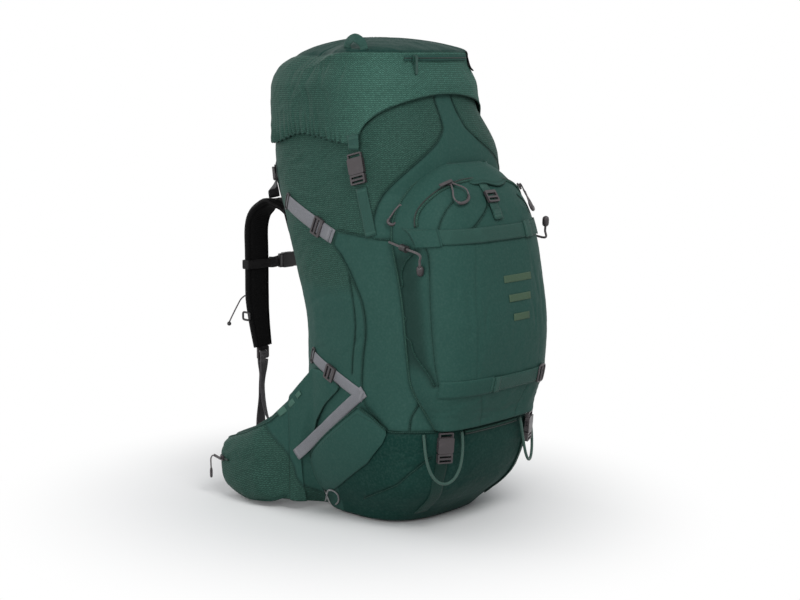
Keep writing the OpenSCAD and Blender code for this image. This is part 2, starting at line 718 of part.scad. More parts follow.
module front_webbing() {
    nx = 30;
    x1 = pocket_w(band_z) * 0.93;
    color(light_green) {
        sheet(
            [for (i = [0:1]) [for (j = [0:nx]) band_pt(x1 * sin(mix(-90, 90, j / nx)), i, web_t)]],
            [for (i = [0:1]) [for (j = [0:nx]) band_pt(x1 * sin(mix(-90, 90, j / nx)), i, 0)]]);
        webbing([for (i = [0:6]) pocket_pt(0, mix(tail_top, tail_end, i / 6))],
            [for (i = [0:6]) pocket_out(0, mix(tail_top, tail_end, i / 6))], web_w);
        webbing([for (i = [0:9]) pocket_pt(mix(-38, 118, i / 9), low_strap_z)],
            [for (i = [0:9]) pocket_out(mix(-38, 118, i / 9), low_strap_z)], strap_band);
    }
}

foot_zip_z = pocket_z0 - 12;
foot_zip_half = pad_x - axe_half - 9;
function front_pt(x, z) = [x, front_y(x, z), z];
function front_out(x, z) = bag_out(front_a(x, z), z);

module zip_tapes() {
    color(black) {
        webbing([for (i = [0:arch_steps]) arch_at(arch_turn(i))],
            [for (i = [0:arch_steps]) arch_face(arch_turn(i))], zip_w, arch_lift);
        webbing([for (i = [0:12]) front_pt(foot_zip_half * (i / 6 - 1), foot_zip_z)],
            [for (i = [0:12]) front_out(foot_zip_half * (i / 6 - 1), foot_zip_z)], zip_w + 2, 0.3);
    }
}

// Lid

function lid_ring(v, off) = [for (i = [0:sides - 1])
    let (a = i * 360 / sides, z = mix(skirt(a), shoulder_at, v))
    lid_pt(a, z, off)];
function crown_ring(b, off) = ring(rim_z, mix(shoulder_at, crown_at, sin(b)) + off * sin(b) * 0.8,
    lid_off(shoulder_at) + off - crown_in * (1 - cos(b)));

module lid_shell() {
    color(green) loft(concat(
        [for (b = [90:-22.5:22.5]) crown_ring(b, -lid_t)],
        [for (v = [5:-1:0]) lid_ring(v / 5, -lid_t)],
        [for (v = [0:5]) lid_ring(v / 5, 0)],
        [for (b = [22.5:22.5:90]) crown_ring(b, 0)]));
}

module lid_floor() {
    color(dark_green) translate([0, 0, floor_at]) linear_extrude(2.5)
        polygon([for (p = ring(rim_z, 0, lid_off(floor_at + 2.5) - lid_t - seat)) [p.x, p.y]]);
}

lid_zip_at = shoulder_at + 4;
lid_zip_front = bag_front(rim_z) - lid_off(shoulder_at) - seat - 2.8;
lid_zip_centre = [0, lid_zip_front + lid_zip_r, lid_zip_at];

module lid_zip() {
    color(black) translate(lid_zip_centre) rotate([0, 0, 270 - lid_zip_half])
        rotate_extrude(angle = 2 * lid_zip_half) translate([lid_zip_r - 1, -5]) square([2, 10]);
}

lid_a = side_a(lid_strap_y, lid_buckle_at);
lid_up = unit(bag_pt(lid_a, lid_buckle_at + 30) - bag_pt(lid_a, lid_buckle_at - 30));
lid_out = bag_out(lid_a, lid_buckle_at);
lid_buckle_p = bag_pt(lid_a, lid_buckle_at, 2.6);
lid_bar = lid_buckle_p + lid_up * (buckle_len(web_w) + bar_len(web_w) + seat + 1.5);

module lid_straps() {
    color(light_green) {
        both() webbing(concat([for (z = [skirt_side_at + 52:-13:skirt_side_at]) lid_pt(lid_a, z, seat)],
            [lid_bar + lid_out * 3]),
            [for (i = [0:5]) lid_out], web_w, 0);
        both() webbing([for (i = [0:5]) lid_pt(118, mix(skirt_rear_at + 12, rim_z + 12, i / 5), seat)],
            [for (i = [0:5]) bag_out(118, rim_z - 10)], web_w, 0);
    }
}

module lid_buckle_sockets() {
    color(hardware) both() place(lid_buckle_p, lid_up, lid_out) buckle_socket(web_w);
}

module lid_buckle_tongues() {
    color(hardware) both() place(lid_buckle_p, lid_up, lid_out) buckle_tongue(web_w);
}

module lid_anchor_tapes() {
    color(light_green) both() webbing(
        [for (i = [0:6]) bag_pt(lid_a, mix(lid_buckle_at - 22, band_z - 4, i / 6))],
        [for (i = [0:6]) bag_out(lid_a, mix(lid_buckle_at - 22, band_z - 4, i / 6))], web_w);
}

module lid_zip_slider() {
    color(hardware) translate(lid_zip_centre) place([60 * -1, -sqrt(pow(lid_zip_r + 1.6, 2) - 3600), 0],
        [1, -60 / lid_zip_r, 0], [-60 / lid_zip_r, -1, 0]) rotate([0, 0, 90]) slider();
}

// Front zip sliders

module arch_slider(t) {
    out = arch_face(t);
    along = arch_at(t + 2) - arch_at(t - 2);
    color(hardware) place(arch_at(t) + out * (arch_lift + web_t + slider_seat),
        along * (t > 90 ? -1 : 1), out) slider();
}

module front_zip_slider_left() {
    arch_slider(slider_left_at);
}

module front_zip_slider_right() {
    arch_slider(slider_right_at);
}

// Buckled pad straps, axe loops and other small fittings

function pad_pt(z) = [pad_x, front_y(pad_x, z), z];
function pad_out(z) = bag_out(front_a(pad_x, z), z);
pad_up = unit(pad_pt(pad_z + 25) - pad_pt(pad_z - 15));
pad_buckle_p = pad_pt(pad_z) + pad_out(pad_z) * (web_lift + web_t + 0.9);

module pad_straps() {
    color(light_green) both() webbing([for (i = [0:10]) pad_pt(mix(pocket_z0 - 20, 22, i / 10))],
        [for (i = [0:10]) pad_out(mix(pocket_z0 - 20, 22, i / 10))], web_w, web_lift + (0.3));
}

module pad_buckle_sockets() {
    color(hardware) both() place(pad_buckle_p, pad_up, pad_out(pad_z)) buckle_socket(web_w);
}

module pad_tongue_right() {
    color(hardware) place(pad_buckle_p, pad_up, pad_out(pad_z)) buckle_tongue(web_w);
}

module pad_tongue_left() {
    mirror([1, 0, 0]) pad_tongue_right();
}

axe_z = pocket_z0 - 6;
axe_in = [pad_x - axe_half, front_y(pad_x - axe_half, axe_z) - 2.5 - seat, axe_z];
axe_out = [pad_x + axe_half, front_y(pad_x + axe_half, axe_z) - 2.5 - seat, axe_z];
axe_face = unit(cross(axe_out - axe_in, [0, 0, 1]));
function axe_pt(f) = mix(axe_in, axe_out, (1 - cos(f)) / 2) - [0, 0, axe_drop * pow(max(0, sin(f)), 0.7)]
    + axe_face * 11 * pow(max(0, sin(f)), 0.5);

module axe_loop_right() {
    color(light_green) cord([for (i = [0:16]) axe_pt(i * 11.25)], 5, axe_face);
}

module axe_loop_left() {
    mirror([1, 0, 0]) axe_loop_right();
}

tool_a = [-(bag_half(band_z) - 8), band_z - 12];
tool_b = [-(pocket_half * 0.72), band_z - 36];
tool_y = mid_y(tool_a.y) - half_y(tool_a.y) * 0.7;
tool_from = [-side_x(tool_y, tool_a.y) - cord_d / 2 - seat / 4, tool_y, tool_a.y];
tool_to = [tool_b.x, pocket_y(tool_b.x, tool_b.y) - 6, tool_b.y];
tool_along = unit(tool_to - tool_from);
tool_bend = [-pocket_w(tool_b.y) - 13, pocket_y(pocket_w(tool_b.y) * 0.95, tool_b.y) - 9,
    mix(tool_a.y, tool_b.y, 0.55)];

module tool_cords() {
    color(black) both() {
        cord([tool_from, mix(tool_from, tool_bend, 0.5), tool_bend, mix(tool_bend, tool_to, 0.5), tool_to],
            cord_d);
        translate(tool_to + unit(tool_to - tool_bend) * 6.5) sphere(d = 12);
    }
}

tool_run = unit(tool_bend - tool_from);
tool_mid = mix(tool_from, tool_bend, 0.5);

module tool_lock_left() {
    color(hardware) place(tool_mid, tool_run, cross(tool_run, [0, 0, 1])) rotate([90, 0, 0]) difference() {
        cylinder(d = 12, h = 14, center = true);
        cylinder(d = cord_d + 1.4, h = 20, center = true);
    }
}

module tool_lock_right() {
    mirror([1, 0, 0]) tool_lock_left();
}

haul_y = rear_y(34, haul_at) + 4 + seat / 2;

module haul_loop() {
    color(black) cord([for (i = [0:18]) let (f = i * 10) [-34 * cos(f), haul_y + 9 * pow(max(0, sin(f)), 0.6),
        haul_at - haul_drop * pow(max(0, sin(f)), 0.55)]], 9, [0, 1, 0]);
}

// Harness

module yoke() {
    color(black) rear_patch(-yoke_half, yoke_half, yoke_z0, yoke_z1, 12,
        $in = pad_off + yoke_seat, $out = yoke_t, $puff = function(u, v) flat(u, v));
}

function strap_path() = let (y = strap_reach, x = strap_x) [
    [-46, root_y(486), 486], [-50, root_y(508), 508], [-58, root_y(521) + 9, strap_crest - 7],
    [-69, (root_y(521) + y) / 2 + 3, strap_crest], [-80, y - 13, strap_crest - 11],
    [-87, y - 4, strap_crest - 30], [-x, y, strap_crest - 54], [-x, y, 440], [-x, y, 400],
    [-x, y, 350], [-x + 1, y - 4, mix(350, strap_end, 0.5)],
    [-x + 3, y - 10, strap_end]];

function strap_ring(i) = let (p = strap_path(), t = heading(p, i),
    u = unit([1, 0, 0] - t * t.x), v = cross(t, u),
    w = strap_w / 2 * lookup(i, [[0, 0.8], [2, 1], [9, 1], [11, 0.74]]), h = strap_t / 2)
    [for (k = [0:15]) let (a = k * 22.5) p[i] + u * w * sign(cos(a)) * pow(abs(cos(a)), 0.5)
        + v * h * sign(sin(a)) * pow(abs(sin(a)), 0.5)];

module shoulder_strap_left() {
    color(black) loft([for (i = [0:11]) strap_ring(i)]);
}

module shoulder_strap_right() {
    mirror([1, 0, 0]) shoulder_strap_left();
}

strap_low = strap_path()[11];

module strap_ladderlocks() {
    color(hardware) both() translate([0, 0, -11.3 - seat]) place(strap_low, [0, 0, 1], [0, 1, 0])
        translate([0, 0, -2]) ladderlock(web_w);
}

function lifter_at(up) = bag_pt(132, lifter_z + up);
function lifter_out(up) = bag_out(132, lifter_z + up);
web_anchor_z = 118;
function web_anchor() = let (x = sheet_half + 20) [-x, rear_y(x, web_anchor_z) + 8.6, web_anchor_z];

module harness_webbing() {
    crest = strap_path()[3] + [0, 0, strap_t / 2 + 1.2];
    low = strap_low - [0, 0, 22 + 2 * seat];
    color(grey) both() {
        webbing([lifter_at(2 * lifter_lock), lifter_at(lifter_lock), lifter_at(0),
            mix(lifter_at(0), crest, 0.35) + [0, 8, 0], crest],
            [lifter_out(2 * lifter_lock), lifter_out(lifter_lock), lifter_out(0), [0, 0.6, 0.8], [0, 0.3, 1]],
            web_w, web_lift);
        webbing([low, mix(low, web_anchor(), 0.5), web_anchor()],
            [for (i = [0:2]) [0.2, 0.7, -0.6]], web_w, 0);
        webbing([low + [0, 2.4, 0], low + [-2, 6, -tail_len * 0.47], low + [-3, 6, -tail_len]],
            [for (i = [0:2]) [0, 1, 0]], web_w, 0);
    }
}

band_in = [strap_w + 1.4, strap_t + 1.4];

module sternum_bands() {
    color(black) both() translate([-strap_x, strap_reach, sternum_z]) difference() {
        cube([band_in.x + 4, band_in.y + 4, 16], center = true);
        cube([band_in.x, band_in.y, 20], center = true);
    }
}

sternum_end = strap_x - band_in.x / 2 - 2 - seat;

module sternum_webbing() {
    color(grey) {
        box(-sternum_end, -buckle_len(web_w) - bar_len(web_w) - seat,
            strap_reach - web_t / 2, strap_reach + web_t / 2,
            sternum_z - web_w / 2, sternum_z + web_w / 2);
        box(tongue_len(web_w) + 0.5 + seat, sternum_end, strap_reach - web_t / 2, strap_reach + web_t / 2,
            sternum_z - web_w / 2, sternum_z + web_w / 2);
    }
}

module at_sternum() {
    place([0, strap_reach - buckle_t(web_w) / 2, sternum_z], [-1, 0, 0], [0, 1, 0]) children();
}

module sternum_socket() {
    color(black) at_sternum() buckle_socket(web_w);
}

module sternum_tongue() {
    color(black) at_sternum() buckle_tongue(web_w);
}

// Hip belt

module hip_wing_left() {
    n = 6;
    m = 8;
    color(dark_green) sheet(
        [for (i = [0:m]) [for (j = [0:n]) let (y = mix(hinge_y - 0.3, wing_y, j / n),
            z = mix(wing_low(y), wing_high(y), i / m)) [-wing_x(y, z) - wing_t, y, z]]],
        [for (i = [0:m]) [for (j = [0:n]) let (y = mix(hinge_y - 0.3, wing_y, j / n),
            z = mix(wing_low(y), wing_high(y), i / m)) [-wing_x(y, z), y, z]]]);
}

module hip_wing_right() {
    mirror([1, 0, 0]) hip_wing_left();
}

module hip_fin_left() {
    color(black) loft([for (i = [0:12]) let (s = i / 12) [for (k = [0:15]) let (a = k * 22.5,
        c = cos(a), v = sin(a)) fin_pt(s, fin_r + fin_thick(s) * sign(c) * pow(abs(c), 0.667),
        fin_mid(s) + fin_tall(s) * sign(v) * pow(abs(v), 0.667))]]);
}

module hip_fin_right() {
    mirror([1, 0, 0]) hip_fin_left();
}

function hip_v(k) = sin(k * 18 - 90) * 0.9;

module hip_pocket_left() {
    color(green) loft([for (i = [0:11]) let (s = mix(0.06, 0.95, i / 11)) concat(
        [for (k = [0:10]) let (v = hip_v(k))
            fin_pt(s, fin_skin(s, v) + seat + 1.9 + hip_bulge(s) * bow(v / 0.9, 2.5),
                fin_mid(s) + fin_tall(s) * v)],
        [for (k = [10:-1:0]) let (v = hip_v(k))
            fin_pt(s, fin_skin(s, v) + seat + 0.4, fin_mid(s) + fin_tall(s) * v)])]);
}

module hip_pocket_right() {
    mirror([1, 0, 0]) hip_pocket_left();
}

module hip_slider(s) {
    a = fin_angle(s);
    color(hardware) place([fin_centre.x + hip_zip_r * cos(a), fin_centre.y + hip_zip_r * sin(a), hip_zip_z],
        [sin(a), -cos(a), 0] * -1, [cos(a), sin(a), 0]) slider();
}

module hip_slider_left() {
    hip_slider(0.8);
}

module hip_slider_right() {
    mirror([1, 0, 0]) hip_slider(0.8);
}

fin_tip = fin_pt(1, fin_r, belt_z);
belt_from = fin_tip + [sin(fin_stop), -cos(fin_stop), 0];

module belt(stop) {
    run = [for (i = [0:8]) let (f = i / 8) [mix(belt_from.x, -stop, f),
        mix(belt_from.y, belt_reach, sin(f * 90)), belt_z]];
    color(black) webbing(run, [for (i = [0:8]) [-1 + i / 8, 1, 0]], belt_w, -1.2, 2.4);
}

module hip_webbing_left() {
    belt(buckle_len(belt_w) + bar_len(belt_w) + seat);
}

module hip_webbing_right() {
    mirror([1, 0, 0]) belt(tongue_len(belt_w) + 0.5 + seat);
}

module at_belt() {
    place([0, belt_reach - buckle_t(belt_w) / 2, belt_z], [-1, 0, 0], [0, 1, 0]) children();
}

module hip_buckle_socket() {
    color(hardware) at_belt() buckle_socket(belt_w);
}

module hip_buckle_tongue() {
    color(hardware) at_belt() buckle_tongue(belt_w);
}

packbag();
base_panel();
collar();
collar_cord();
collar_cord_lock();
floating_divider();
framesheet();
perimeter_frame();
centre_stay();
back_pads();
lumbar_pad();
front_pocket();
side_pocket_left();
side_pocket_right();
compression_straps_left();
compression_straps_right();
ladderlocks();
front_webbing();
zip_tapes();
lid_shell();
lid_floor();
lid_zip();
lid_straps();
lid_buckle_sockets();
lid_buckle_tongues();
lid_anchor_tapes();
lid_zip_slider();
front_zip_slider_left();
front_zip_slider_right();
pad_straps();
pad_buckle_sockets();
pad_tongue_left();
pad_tongue_right();
axe_loop_left();
axe_loop_right();
tool_cords();
tool_lock_left();
tool_lock_right();
haul_loop();
yoke();
shoulder_strap_left();
shoulder_strap_right();
strap_ladderlocks();
harness_webbing();
sternum_bands();
sternum_webbing();
sternum_socket();
sternum_tongue();
hip_wing_left();
hip_wing_right();
hip_fin_left();
hip_fin_right();
hip_pocket_left();
hip_pocket_right();
hip_slider_left();
hip_slider_right();
hip_webbing_left();
hip_webbing_right();
hip_buckle_socket();
hip_buckle_tongue();
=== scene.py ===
"""A trekking rucksack: cloth, padding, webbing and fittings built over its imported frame."""
import math
import bpy
import numpy as np
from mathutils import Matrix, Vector


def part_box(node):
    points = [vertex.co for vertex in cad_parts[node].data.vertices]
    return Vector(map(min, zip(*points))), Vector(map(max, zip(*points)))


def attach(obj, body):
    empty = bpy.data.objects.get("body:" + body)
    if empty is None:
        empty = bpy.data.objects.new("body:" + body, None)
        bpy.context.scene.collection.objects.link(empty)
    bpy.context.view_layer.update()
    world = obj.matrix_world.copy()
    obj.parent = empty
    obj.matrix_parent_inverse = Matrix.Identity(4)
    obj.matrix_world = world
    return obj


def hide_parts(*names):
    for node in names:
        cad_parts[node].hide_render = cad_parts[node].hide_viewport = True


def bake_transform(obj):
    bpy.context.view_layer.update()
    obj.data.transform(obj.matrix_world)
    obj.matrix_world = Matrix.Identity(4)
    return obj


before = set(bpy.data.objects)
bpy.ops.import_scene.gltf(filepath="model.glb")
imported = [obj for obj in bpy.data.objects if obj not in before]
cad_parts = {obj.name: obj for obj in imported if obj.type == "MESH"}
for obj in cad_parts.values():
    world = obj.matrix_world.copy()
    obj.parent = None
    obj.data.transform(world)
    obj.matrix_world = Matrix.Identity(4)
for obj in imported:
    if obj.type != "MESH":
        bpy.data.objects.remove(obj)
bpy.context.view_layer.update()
MM = 0.001
SIDES = (("left", np.array([1.0, 1.0, 1.0])), ("right", np.array([-1.0, 1.0, 1.0])))

# Camera and light

scene = bpy.context.scene
scene.view_settings.view_transform = "Standard"


def aimed(name, data, place, target):
    """A camera or a lamp at a place, turned towards a target."""
    obj = bpy.data.objects.new(name, data)
    scene.collection.objects.link(obj)
    obj.location = place
    obj.rotation_euler = (Vector(target) - Vector(place)).to_track_quat("-Z", "Y").to_euler()
    return obj


lens = bpy.data.cameras.new("camera")
lens.sensor_width = 36
lens.lens = 71.9
scene.camera = aimed("camera", lens, (-2.037, -1.9055, 0.806), (0.0568, 0.0493, 0.3538))
for name, place, target, size, power in (("key", (-0.8, -2.2, 3.0), (0, 0, 0.45), 1.5, 50),
                                         ("fill", (-3.0, -0.9, 0.9), (0, 0, 0.3), 1.8, 38),
                                         ("rear", (-0.8, 2.6, 1.9), (0, 0, 0.5), 1.6, 22)):
    light = bpy.data.lights.new(name, "AREA")
    light.size = size
    light.energy = power
    aimed(name, light, place, target)


# Numbers and paths

def unit(v):
    v = np.asarray(v, float)
    return v / np.maximum(np.linalg.norm(v, axis=-1, keepdims=True), 1e-9)


def mix(a, b, f):
    return a + (b - a) * f


def ease(f):
    g = np.clip(f, 0, 1)
    return g * g * (3 - 2 * g)


def groove(d, width):
    return np.exp(-(d / width) ** 2)


def squared(turn, power):
    """A circle's two measures, drawn towards a square as the power falls from 1."""
    return [np.sign(q) * np.abs(q) ** power for q in (np.cos(turn), np.sin(turn))]


def turn_from(a, middle):
    """How many degrees an angle lies from a middle one, either way."""
    return np.abs((np.asarray(a, float) - middle + 180) % 360 - 180)


def points(x, y, z):
    return np.stack(np.broadcast_arrays(x, y, z), -1)


def shares(across, along_it):
    """A grid of shares from 0 to 1, across and along."""
    return np.meshgrid(np.linspace(0, 1, across), np.linspace(0, 1, along_it))


def row(x0, x1, z, count):
    return [(x, z) for x in np.linspace(x0, x1, count)]


def line_at(rows, q):
    rows = np.array(rows, float)
    return np.interp(q, rows[:, 0], rows[:, 1])


def lengths(p):
    """How far along a line each of its points lies."""
    return np.r_[0, np.cumsum(np.linalg.norm(np.diff(p, axis=0), axis=1))]


def resample(p, step):
    d = lengths(p)
    t = np.linspace(0, d[-1], max(3, int(round(d[-1] / step)) + 1))
    return np.stack([np.interp(t, d, p[:, k]) for k in range(p.shape[1])], 1)


def smooth_path(p, step=4.0):
    """A smooth line through the points, with a point about every step."""
    p = np.asarray(p, float)
    q = np.vstack([2 * p[0] - p[1], p, 2 * p[-1] - p[-2]])
    t = np.linspace(0, 1, 24, endpoint=False)[:, None]
    spans = []
    for i in range(len(p) - 1):
        a, b, c, d = q[i:i + 4]
        bends = (2 * a - 5 * b + 4 * c - d) * t ** 2
        spans.append(0.5 * (2 * b + (c - a) * t + bends + (3 * b - a - 3 * c + d) * t ** 3))
    return resample(np.vstack(spans + [p[-1:]]), step)


def near(u, v, line):
    """Distance from each (u, v) to a polyline, with the side it lies on as a sign."""
    best = np.full(np.shape(u), 1e9)
    side = np.zeros(np.shape(u))
    line = np.asarray(line, float)
    for (x0, y0), (x1, y1) in zip(line[:-1], line[1:]):
        dx, dy = x1 - x0, y1 - y0
        f = np.clip(((u - x0) * dx + (v - y0) * dy) / (dx * dx + dy * dy), 0, 1)
        d = np.hypot(u - x0 - f * dx, v - y0 - f * dy)
        closer = d < best
        best = np.where(closer, d, best)
        side = np.where(closer, np.sign(dx * (v - y0) - dy * (u - x0)), side)
    return best, side


def waves(u, v, seed, size, count=9, stretch=1.0):
    """Soft unevenness: a seeded sum of sines about that size, drawn out along v by stretch."""
    rng = np.random.default_rng(seed)
    turns, phases = rng.uniform(0, 2 * np.pi, count), rng.uniform(0, 7, count)
    total = 0
    for turn, phase, scale in zip(turns, phases, rng.uniform(0.6, 1.7, count)):
        k = 2 * np.pi / (size * scale)
        total = total + np.sin(k * (u * math.cos(turn) + v / stretch * math.sin(turn)) + phase)
    return total / math.sqrt(count)


def creases(u, v, seed, count, box, length, lean, spread, width):
    """Seeded fold lines inside a box of (u0, u1, v0, v1), as a depth from 0 to 1."""
    rng = np.random.default_rng(seed)
    total = np.zeros(np.shape(u))
    for _ in range(count):
        cu, cv = rng.uniform(box[0], box[1]), rng.uniform(box[2], box[3])
        turn = math.radians(lean + rng.uniform(-spread, spread))
        reach, bend = length * rng.uniform(0.5, 1.3), rng.uniform(-0.5, 0.5)
        wide = width * rng.uniform(0.7, 1.5)
        a = (u - cu) * math.cos(turn) + (v - cv) * math.sin(turn)
        b = (v - cv) * math.cos(turn) - (u - cu) * math.sin(turn) - bend * a * a / reach
        total = np.maximum(total, rng.uniform(0.4, 1) * np.exp(-(a / reach * 2) ** 4 - (b / wide) ** 2))
    return total


# Surfaces of the pack, in millimetres and degrees round the upright

RIM, WALL, SQUARE, SEAT, LIFT = 738.0, 4.0, 2.9, 0.5, 0.5
# Webbing's thickness, and the widths it comes in
WEB, TAPE, WIDE_TAPE, BELT_TAPE = 2.0, 20, 25, 38
REAR_TURN, FRONT_TURN = 90.0, 270.0
REAR = ((0, 88), (45, 124), (355, 118), (592, 213), (738, 221))
FRONT = ((0, -95), (45, -185), (140, -222), (400, -190), (560, -160), (738, -98))
HALF = ((0, 112), (45, 156), (140, 177), (400, 179), (560, 170), (738, 151))


def soft(rows, z):
    """A table of heights and sizes read at z, with its corners rounded."""
    return sum(line_at(rows, np.asarray(z, float) + k * 12) for k in range(-3, 4)) / 7


def mid_y(z):
    return (soft(REAR, z) + soft(FRONT, z)) / 2


def half_y(z):
    return (soft(REAR, z) - soft(FRONT, z)) / 2


def bow(q, n=SQUARE):
    return np.maximum(0, 1 - np.abs(q) ** n) ** (1 / n)


def front_y(x, z, off=0.0):
    return mid_y(z) - (half_y(z) + off) * bow(x / (soft(HALF, z) + off))


def rear_y(x, z, off=0.0):
    return mid_y(z) + (half_y(z) + off) * bow(x / (soft(HALF, z) + off))


def side_x(y, z, off=0.0):
    return (soft(HALF, z) + off) * bow((y - mid_y(z)) / (half_y(z) + off))


def section(a, z, at, off=0.0):
    """The packbag's section at z, grown by off and drawn at another height."""
    c, s = np.cos(np.radians(a)), np.sin(np.radians(a))
    wide, deep = soft(HALF, z) + off, half_y(z) + off
    r = ((np.abs(c) / wide) ** SQUARE + (np.abs(s) / deep) ** SQUARE) ** (-1 / SQUARE)
    return points(r * c, mid_y(z) + r * s, at)


def bag_pt(a, z, off=0.0):
    return section(a, z, z, off)


def bag_out(a, z):
    """The way the packbag faces."""
    return unit(np.cross(bag_pt(a + 1, z) - bag_pt(a - 1, z), bag_pt(a, z + 3) - bag_pt(a, z - 3)))


def side_a(y, z):
    return np.degrees(np.arctan2(y - mid_y(z), -side_x(y, z))) % 360


def left_side(y, z):
    return points(-side_x(y, z), y, z)


def bag_front(x, z):
    return points(x, front_y(x, z), z)


def on_side(surface, flat):
    """A left surface, or its mirror."""
    return lambda u, v: surface(u, v) * flat


def face_of(surface, u, v, off=0.0):
    """Points off a surface, and the way it faces, away from the pack's upright."""
    p = surface(u, v)
    n = unit(np.cross(surface(u + 1, v) - surface(u - 1, v), surface(u, v + 2) - surface(u, v - 2)))
    n = n * np.where((n * p * np.array([1.0, 1.0, 0.0])).sum(-1) < 0, -1, 1)[..., None]
    return p + n * off, n


ROUND = np.linspace(0, 180, 361)
REACH = lengths(bag_pt(REAR_TURN + ROUND, 400.0))


def along(a):
    """Distance round the pack from the middle of its back, alike on both sides."""
    return np.interp(turn_from(a, REAR_TURN), ROUND, REACH)


def trace(*spots):
    """Points (x, y, z) on the packbag as a line of (distance round, height)."""
    p = np.array(spots, float)
    a = np.degrees(np.arctan2(p[:, 1] - mid_y(p[:, 2]), p[:, 0]))
    return np.stack([along(a), p[:, 2]], 1)


SHOULDER, CROWN, SKIRT_SIDE, SKIRT_FRONT, SKIRT_REAR = 785.0, 824.0, 648.0, 729.0, 658.0
SKIRT_TURN, LID_T, LID_GAP, LID_TAPER = 58, 5.0, 1.6, 15


def lid_off(z):
    return LID_GAP + LID_T - LID_TAPER * ease((z - RIM) / (SHOULDER - RIM))


def lid_pt(a, z, off=0.0):
    return section(a, np.minimum(z, RIM), z, lid_off(z) + off)


def skirt(a):
    """The height of the lid's lower edge."""
    d = turn_from(a, FRONT_TURN)
    front = mix(SKIRT_SIDE, SKIRT_FRONT, np.sqrt(np.maximum(0, 1 - (d / SKIRT_TURN) ** 2)))
    rear = mix(SKIRT_SIDE, SKIRT_REAR, ease((d - SKIRT_TURN) / 60))
    rear = rear + 8 * np.sin(np.pi * np.clip((d - SKIRT_TURN) / 80, 0, 1)) ** 2
    return np.where(d < SKIRT_TURN, front, rear)


# Lines of the straps on the sides (depth, height) and of the pad straps (height, half distance)
UPPER = ((112, 546), (-14, 494))
LOWER = ((44, 286), (-86, 231.6))
STAB = ((-87, 241.5), (82, 103))
PAD_X = ((22, 84), (51, 92), (89, 104), (123, 107), (163, 107))
LID_A = float(side_a(-58.0, 600.0))
STUFFED_FROM = 570


def stuffing(a, z):
    """How far the stuffed front stands out between the pocket and the lid."""
    rise = np.clip((z - STUFFED_FROM) / (skirt(a) - 8 - STUFFED_FROM), 0, 1)
    return 13.0 * ease((62 - turn_from(a, FRONT_TURN)) / 18) * np.sin(np.pi * rise) ** 1.2


P0, P1, P_ARCH, P_HALF, P_DEEP = 183.0, 617.0, 470.0, 151.0, 66.0
P_OUT = ((P0, 6), (P0 + 58, P_DEEP * 0.66), (P0 + 160, P_DEEP), (P1 - 125, P_DEEP), (P1 - 42, P_DEEP * 0.76),
         (P1, 10))
P_WIDE = ((P0, P_HALF * 0.76), (P0 + 50, P_HALF * 0.985), (P0 + 150, P_HALF), (P_ARCH, P_HALF * 0.99))
ARCH_POWER, ARCH_HALF, ARCH_Z, ARCH_TALL = 2.6, 142, 498, 94


def pocket_w(z):
    top = np.clip((z - P_ARCH) / (P1 + 4 - P_ARCH), 0, 1)
    return soft(P_WIDE, z) * np.sqrt(1 - top ** ARCH_POWER)


def pocket_depths(z):
    """The front pocket's half width, and where its edge and its face lie."""
    h = pocket_w(z)
    return h, front_y(h, z) - SEAT - 1, front_y(0, z) - soft(P_OUT, z)


def pocket_y(x, z):
    h, edge, face = pocket_depths(z)
    return edge - (edge - face) * bow(np.clip(x / h, -1, 1), 3)


def pocket_x(y, z):
    """How far out the pocket's left side lies at a depth."""
    h, edge, face = pocket_depths(z)
    return -h * (1 - np.clip((edge - y) / (edge - face), 0, 1) ** 3) ** (1 / 3)


def pocket(x, z):
    return points(x, pocket_y(x, z), z)


def arch(t):
    """The front zip's line over the pocket."""
    c, s = squared(np.radians(t), 2 / ARCH_POWER)
    return ARCH_HALF * c, ARCH_Z + ARCH_TALL * s


# Meshes

def box_mm(node):
    """A node's two corners in millimetres."""
    return np.array(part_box(node)) * 1000


def left_only(side, node):
    """A node that stands for both sides goes with the left piece."""
    return node if side == "left" else None


def build(name, verts, faces, mat, marks, body="pack", slot=None, node=None):
    """A piece on a body, in place of a node. The slot argument is not used."""
    mesh = bpy.data.meshes.new(name)
    mesh.from_pydata((verts * MM).tolist(), [], faces)
    mesh.polygons.foreach_set("use_smooth", [True] * len(mesh.polygons))
    cloth_mark, seam_and_shade_mark = (np.asarray(q, np.float32).ravel() for q in marks)
    mesh.attributes.new("cloth", "FLOAT_VECTOR", "POINT").data.foreach_set("vector", cloth_mark)
    mesh.attributes.new("seam_and_shade", "FLOAT", "POINT").data.foreach_set("value", seam_and_shade_mark)
    mesh.materials.append(mat)
    mesh.update()
    obj = bpy.data.objects.new(name, mesh)
    scene.collection.objects.link(obj)
    if body:
        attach(obj, body)
    if node:
        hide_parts(node)
    return obj


def facing(grid, wrap=False):
    du = np.roll(grid, -1, 1) - np.roll(grid, 1, 1) if wrap else np.gradient(grid, axis=1)
    return unit(np.cross(du, np.gradient(grid, axis=0)))


